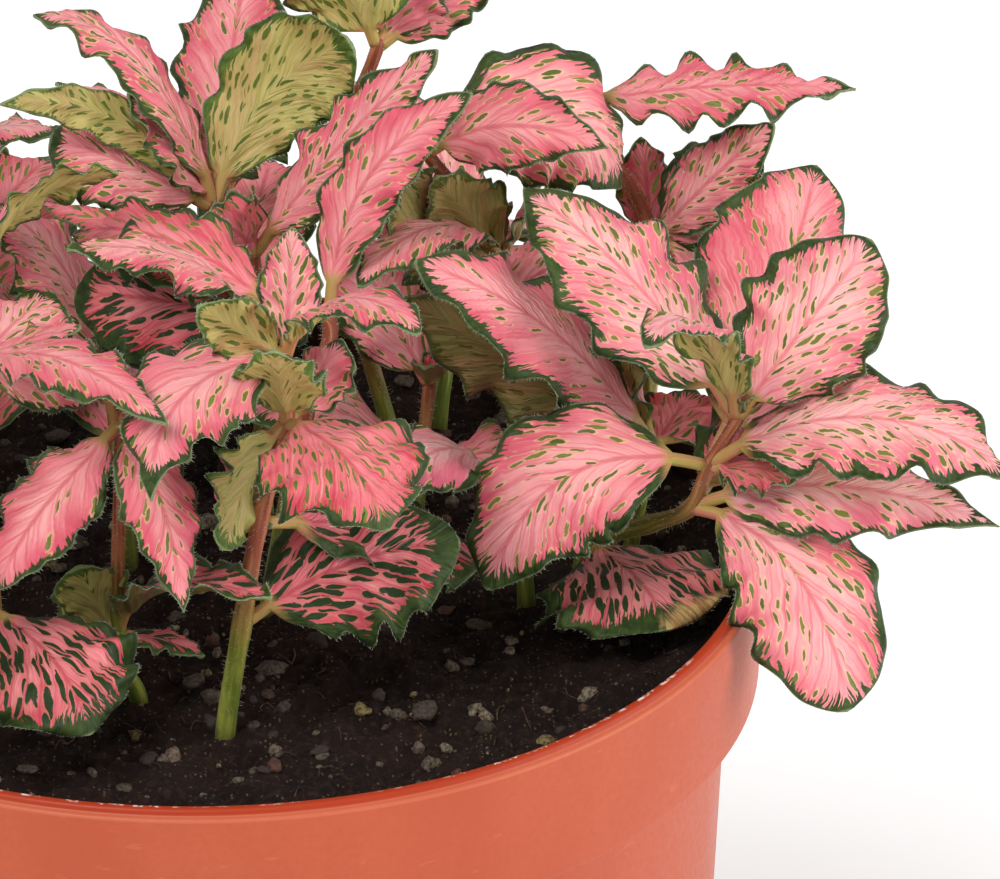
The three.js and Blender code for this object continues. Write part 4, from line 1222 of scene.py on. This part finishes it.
# %% The toothed margin
tooth = pattern(spot_vein * 1.9, run * 0.1, apart_sides + 90.0)
margin_wave = pattern(lie_x * 0.17, lie_y * 0.05, offset + 11.0)
margin_width = margin_wave.ramp(0.3, 0.7, 0.4, 1.12) + tooth.ramp(0.38, 0.7, 0.0, 1.1)
margin_width = (margin_width + spots.ramp(0.76, 1.0, 0.0, 0.7)) * wide.ramp(2.0, 8.0, 0.35, 1.0)
margin_mask = (margin_width - edge).ramp(-0.06, 0.16)
# Noise for a painted sheen: paler blue-green patches on the margin where it would catch the light.
painted_margin_sheen = pattern(lie_x * 0.12, lie_y * 0.2, offset + 5.0)
margin_green = leafy.mix(rough_edge.ramp(-0.2, 0.25), paint(32, 52, 10), paint(56, 76, 20))
margin_green = margin_green.coat(paint(84, 102, 52), painted_margin_sheen.ramp(0.48, 0.72, 0.0, 0.4))
hem = edge.ramp(0.04, 0.24, 0.6, 0.0)
upper = upper.coat(margin_green, margin_mask).coat(paint(146, 160, 118), hem)

# %% The underside, the worn margin, the stalk and the stem
lower_green = leafy.mix(rough_edge.ramp(-0.2, 0.25), paint(62, 90, 26), paint(98, 120, 46))
underside_painted_shade = leafy.mix(broad_streak.ramp(0.35, 0.65), paint(74, 66, 30), paint(112, 66, 42))
lower = leafy.mix(fine_streak.ramp(0.25, 0.7), paint(154, 146, 74), paint(188, 174, 104))
lower = lower.coat(paint(198, 152, 110), broad_streak.ramp(0.4, 0.7, 0.0, 0.5))
lower = lower.coat(paint(168, 166, 84), halo_mask * 0.6)
lower = lower.coat(paint(84, 102, 32), spot_mask * 0.95)
# Deep-toned leaves get a brown painted shade over their underside.
lower = lower.coat(lower_green, margin_mask).coat(underside_painted_shade, tone.ramp(0.6, 1.0, 0.0, 0.7))
skin = upper.coat(lower.coat(paint(150, 170, 120), hem), underside)

dry = (worn + rough_edge * 0.5 - edge * 0.34).ramp(0.1, 0.6)
skin = skin.coat(leafy.mix(fine_streak.ramp(0.4, 0.6), paint(206, 178, 116), paint(176, 124, 78)), dry * 0.85)

stalk_colour = leafy.mix(fine_streak.ramp(0.4, 0.65), paint(172, 150, 78), paint(196, 122, 96))
stem_streak = pattern(lie_y * 1.2, lie_x * 0.12, offset, 2.0)
stem_low = leafy.mix(stem_streak.ramp(0.4, 0.62), paint(104, 118, 38), paint(146, 152, 62))
stem_high = leafy.mix(stem_streak.ramp(0.4, 0.62), paint(134, 66, 46), paint(172, 106, 70))
stem_colour = stem_low.coat(stem_high, (worn + stem_streak * 8.0).ramp(12.0, 26.0))
stem_colour = stem_colour.coat(paint(52, 36, 26), worn.ramp(-1.0, 2.5, 0.75, 0.0))
leafy.colour(skin.coat(stalk_colour, stalk.ramp(0.1, 0.9)).coat(stem_colour, stalk.ramp(1.4, 1.6)))

# %% Gloss and relief of the leaf
quilt = pattern(bent_vein * 0.8, run * 0.4, offset, 2.0)
leafy.bump(fine_streak * 0.7 + quilt + spot_mask * 0.15, 0.5, 0.55)
leafy.rough(margin_mask.ramp(0.0, 1.0, 0.46, 0.52) + rough_edge * 0.15)
print("leaf finish:", len(leafy.tree.nodes), "nodes")

# %% [markdown]
# ## Putting each shoot together
#
# Every shoot becomes one mesh: its stem and its leaves, and on the grown shoots and three placed ones a small bud at
# the tip of the stem, where the next pair of leaves is still folded. Leaves that nobody sees closely from the front
# get fewer rows.

# %% Join stems and leaves
BUD_LEAVES = [(5.5, 38), (5.0, 44), (3.6, 66), (3.4, 70)]  # length, and degrees above level
PLACED_WITH_BUD = ("shoot_right", "shoot_far_left", "shoot_middle")
GROWN_BLADE_ROWS = 34
BUD_ROWS = 14
BUD_COLUMNS = 9
BUD_OFFSET = 0.6
BUD_WIDTH_SHARE = 0.55


def bud_leaves(shoot, seed):
    """Two pairs of young leaves at the tip of a stem."""
    top = np.array(shoot["nodes"][-1], float)
    below = np.array(shoot["nodes"][-2] if len(shoot["nodes"]) > 1 else (*shoot["foot"], SOIL_LEVEL), float)
    ahead = unit(top - below)
    base = top + ahead * BUD_OFFSET
    young = []
    for i, (size, climb) in enumerate(BUD_LEAVES):
        turn = math.radians(360 * draw(seed, 30) + 180 * (i % 2) + 90 * (i // 2))
        flat = size * math.cos(math.radians(climb))
        rise = size * math.sin(math.radians(climb))
        tip = base + ahead * rise + np.array([math.cos(turn), math.sin(turn), 0]) * flat
        width = size * BUD_WIDTH_SHARE
        young.append((leaf(0, tip, width, (0.9, 0.1, 0.0), 0, 5, 35, cup=0.35, seed=seed + i), base))
    return young


leaf_margins, stems = [], []
for index, shoot in enumerate(shoots):
    placed_here = index < len(PLACED)
    seed = index * 17
    *stem, path = fine_stem(shoot, seed)
    stems.append(path)
    parts = [stem]
    for one in shoot["leaves"]:
        base = shoot["nodes"][one["node"]]
        *blade, lines = fine_leaf(one, base, BLADE_ROWS if placed_here else GROWN_BLADE_ROWS)
        parts.append(blade)
        leaf_margins += [(line, placed_here) for line in lines]
    if not placed_here or shoot["name"] in PLACED_WITH_BUD:
        parts += [fine_leaf(young, base, BUD_ROWS, BUD_COLUMNS)[:3] for young, base in bud_leaves(shoot, seed + 5)]
    piece = make_piece(shoot["name"] + "_plant", *gather(parts))
    piece.data.materials.append(leafy.material)
    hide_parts(shoot["name"])
    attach(piece, "root")
    print(shoot["name"], len(piece.data.polygons), "faces")

# %% [markdown]
# ## Hairs
#
# The stems and the margins are fringed with short pale hairs, which catch the light as a fine silver line. Each is
# a long thin pyramid, so they stay real geometry wherever the plant is used.

# %% How hairs are made
down = Finish("pale_down", Roughness=0.55, Specular_IOR_Level=0.3)
down.colour(down.mix(down.noise(down.place(), 0.3, 1.0), paint(196, 206, 178), paint(228, 226, 208)))
print("hair finish:", len(down.tree.nodes), "nodes")


def hairs(name, sets, radius):
    """Many thin three-sided pyramids as one piece, from sets of roots, directions and lengths."""
    roots, directions, lengths = (np.concatenate(values) for values in zip(*sets))
    directions = unit(directions)
    helper = np.where(np.abs(directions[:, 2:3]) < 0.9, [[0.0, 0.0, 1.0]], [[1.0, 0.0, 0.0]])
    across = unit(np.cross(directions, helper))
    aside = np.cross(directions, across)
    corners = [roots + radius * (math.cos(a) * across + math.sin(a) * aside) for a in (0, TURN / 3, 2 * TURN / 3)]
    points = np.stack(corners + [roots + directions * lengths[:, None]], axis=1).reshape(-1, 3)
    first = np.arange(len(roots)) * 4
    sides = [(0, 1, 3), (1, 2, 3), (2, 0, 3), (2, 1, 0)]
    faces = np.concatenate([np.stack([first + i for i in side], axis=1) for side in sides])
    piece = make_piece(name, points, faces, smooth=False)
    piece.data.materials.append(down.material)
    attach(piece, "root")
    print(name, len(roots), "hairs")


def measured(line):
    """How far each point of a line is along it."""
    return np.concatenate([[0], np.cumsum(np.linalg.norm(np.diff(line, axis=0), axis=1))])


def between(at, travelled, rows):
    """Rows of three numbers, read off between the points of a line."""
    return np.stack([np.interp(at, travelled, rows[:, k]) for k in range(3)], axis=1)


# %% Hairs along the margins
MARGIN_SPACING = 0.42
GROWN_MARGIN_SPACING = 2.2 * MARGIN_SPACING
MARGIN_HAIR_RADIUS = 0.022
MARGIN_HAIR_ROOT = 0.05

fringe = []
for (line, outward, up), placed_here in leaf_margins:
    travelled = measured(line)
    count = int(travelled[-1] / (MARGIN_SPACING if placed_here else GROWN_MARGIN_SPACING))
    at = (np.arange(count) + chance.random(count)) / max(count, 1) * travelled[-1]
    at = at[at > travelled[STALK_ROWS + 2]]
    root, out, high = (between(at, travelled, rows) for rows in (line, outward, up))
    heading = out + high * chance.normal(scale=0.35, size=(len(at), 1))
    heading = heading + chance.normal(scale=0.25, size=(len(at), 3))
    fringe.append((root - out * MARGIN_HAIR_ROOT, heading, 0.22 + 0.3 * chance.random(len(at))))
hairs("margin_hairs", fringe, MARGIN_HAIR_RADIUS)

# %% Hairs on the stems
STEM_HAIRS_PER_MM = 9
STEM_HAIR_RADIUS = 0.02
STEM_HAIR_ROOT = 0.08
BARE_STEM = 4

fuzz = []
for path, radii in stems:
    travelled = measured(path)
    count = int(travelled[-1] * STEM_HAIRS_PER_MM)
    at = chance.random(count) * travelled[-1]
    root = between(at, travelled, path)
    radius = np.interp(at, travelled, radii)[:, None]
    heading = unit(between(at, travelled, np.gradient(path, axis=0)))
    sideways = chance.normal(size=(count, 3))
    sideways = unit(sideways - heading * np.sum(sideways * heading, axis=1, keepdims=True))
    keep = root[:, 2] > SOIL_LEVEL + BARE_STEM
    root = root + sideways * (radius - STEM_HAIR_ROOT)
    leaning = sideways + heading * chance.normal(scale=0.3, size=(count, 1))
    fuzz.append((root[keep], leaning[keep], (0.35 + 0.5 * chance.random(count))[keep]))
hairs("stem_hairs", fuzz, STEM_HAIR_RADIUS)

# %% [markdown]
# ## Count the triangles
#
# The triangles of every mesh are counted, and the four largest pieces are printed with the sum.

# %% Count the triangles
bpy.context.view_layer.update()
meshes = [o for o in bpy.data.objects if o.type == "MESH"]
triangles = {o.name: sum(len(p.vertices) - 2 for p in o.data.polygons) for o in meshes}
largest = sorted(triangles.items(), key=lambda item: -item[1])[:4]
print("largest pieces:", largest, "in all", sum(triangles.values()))
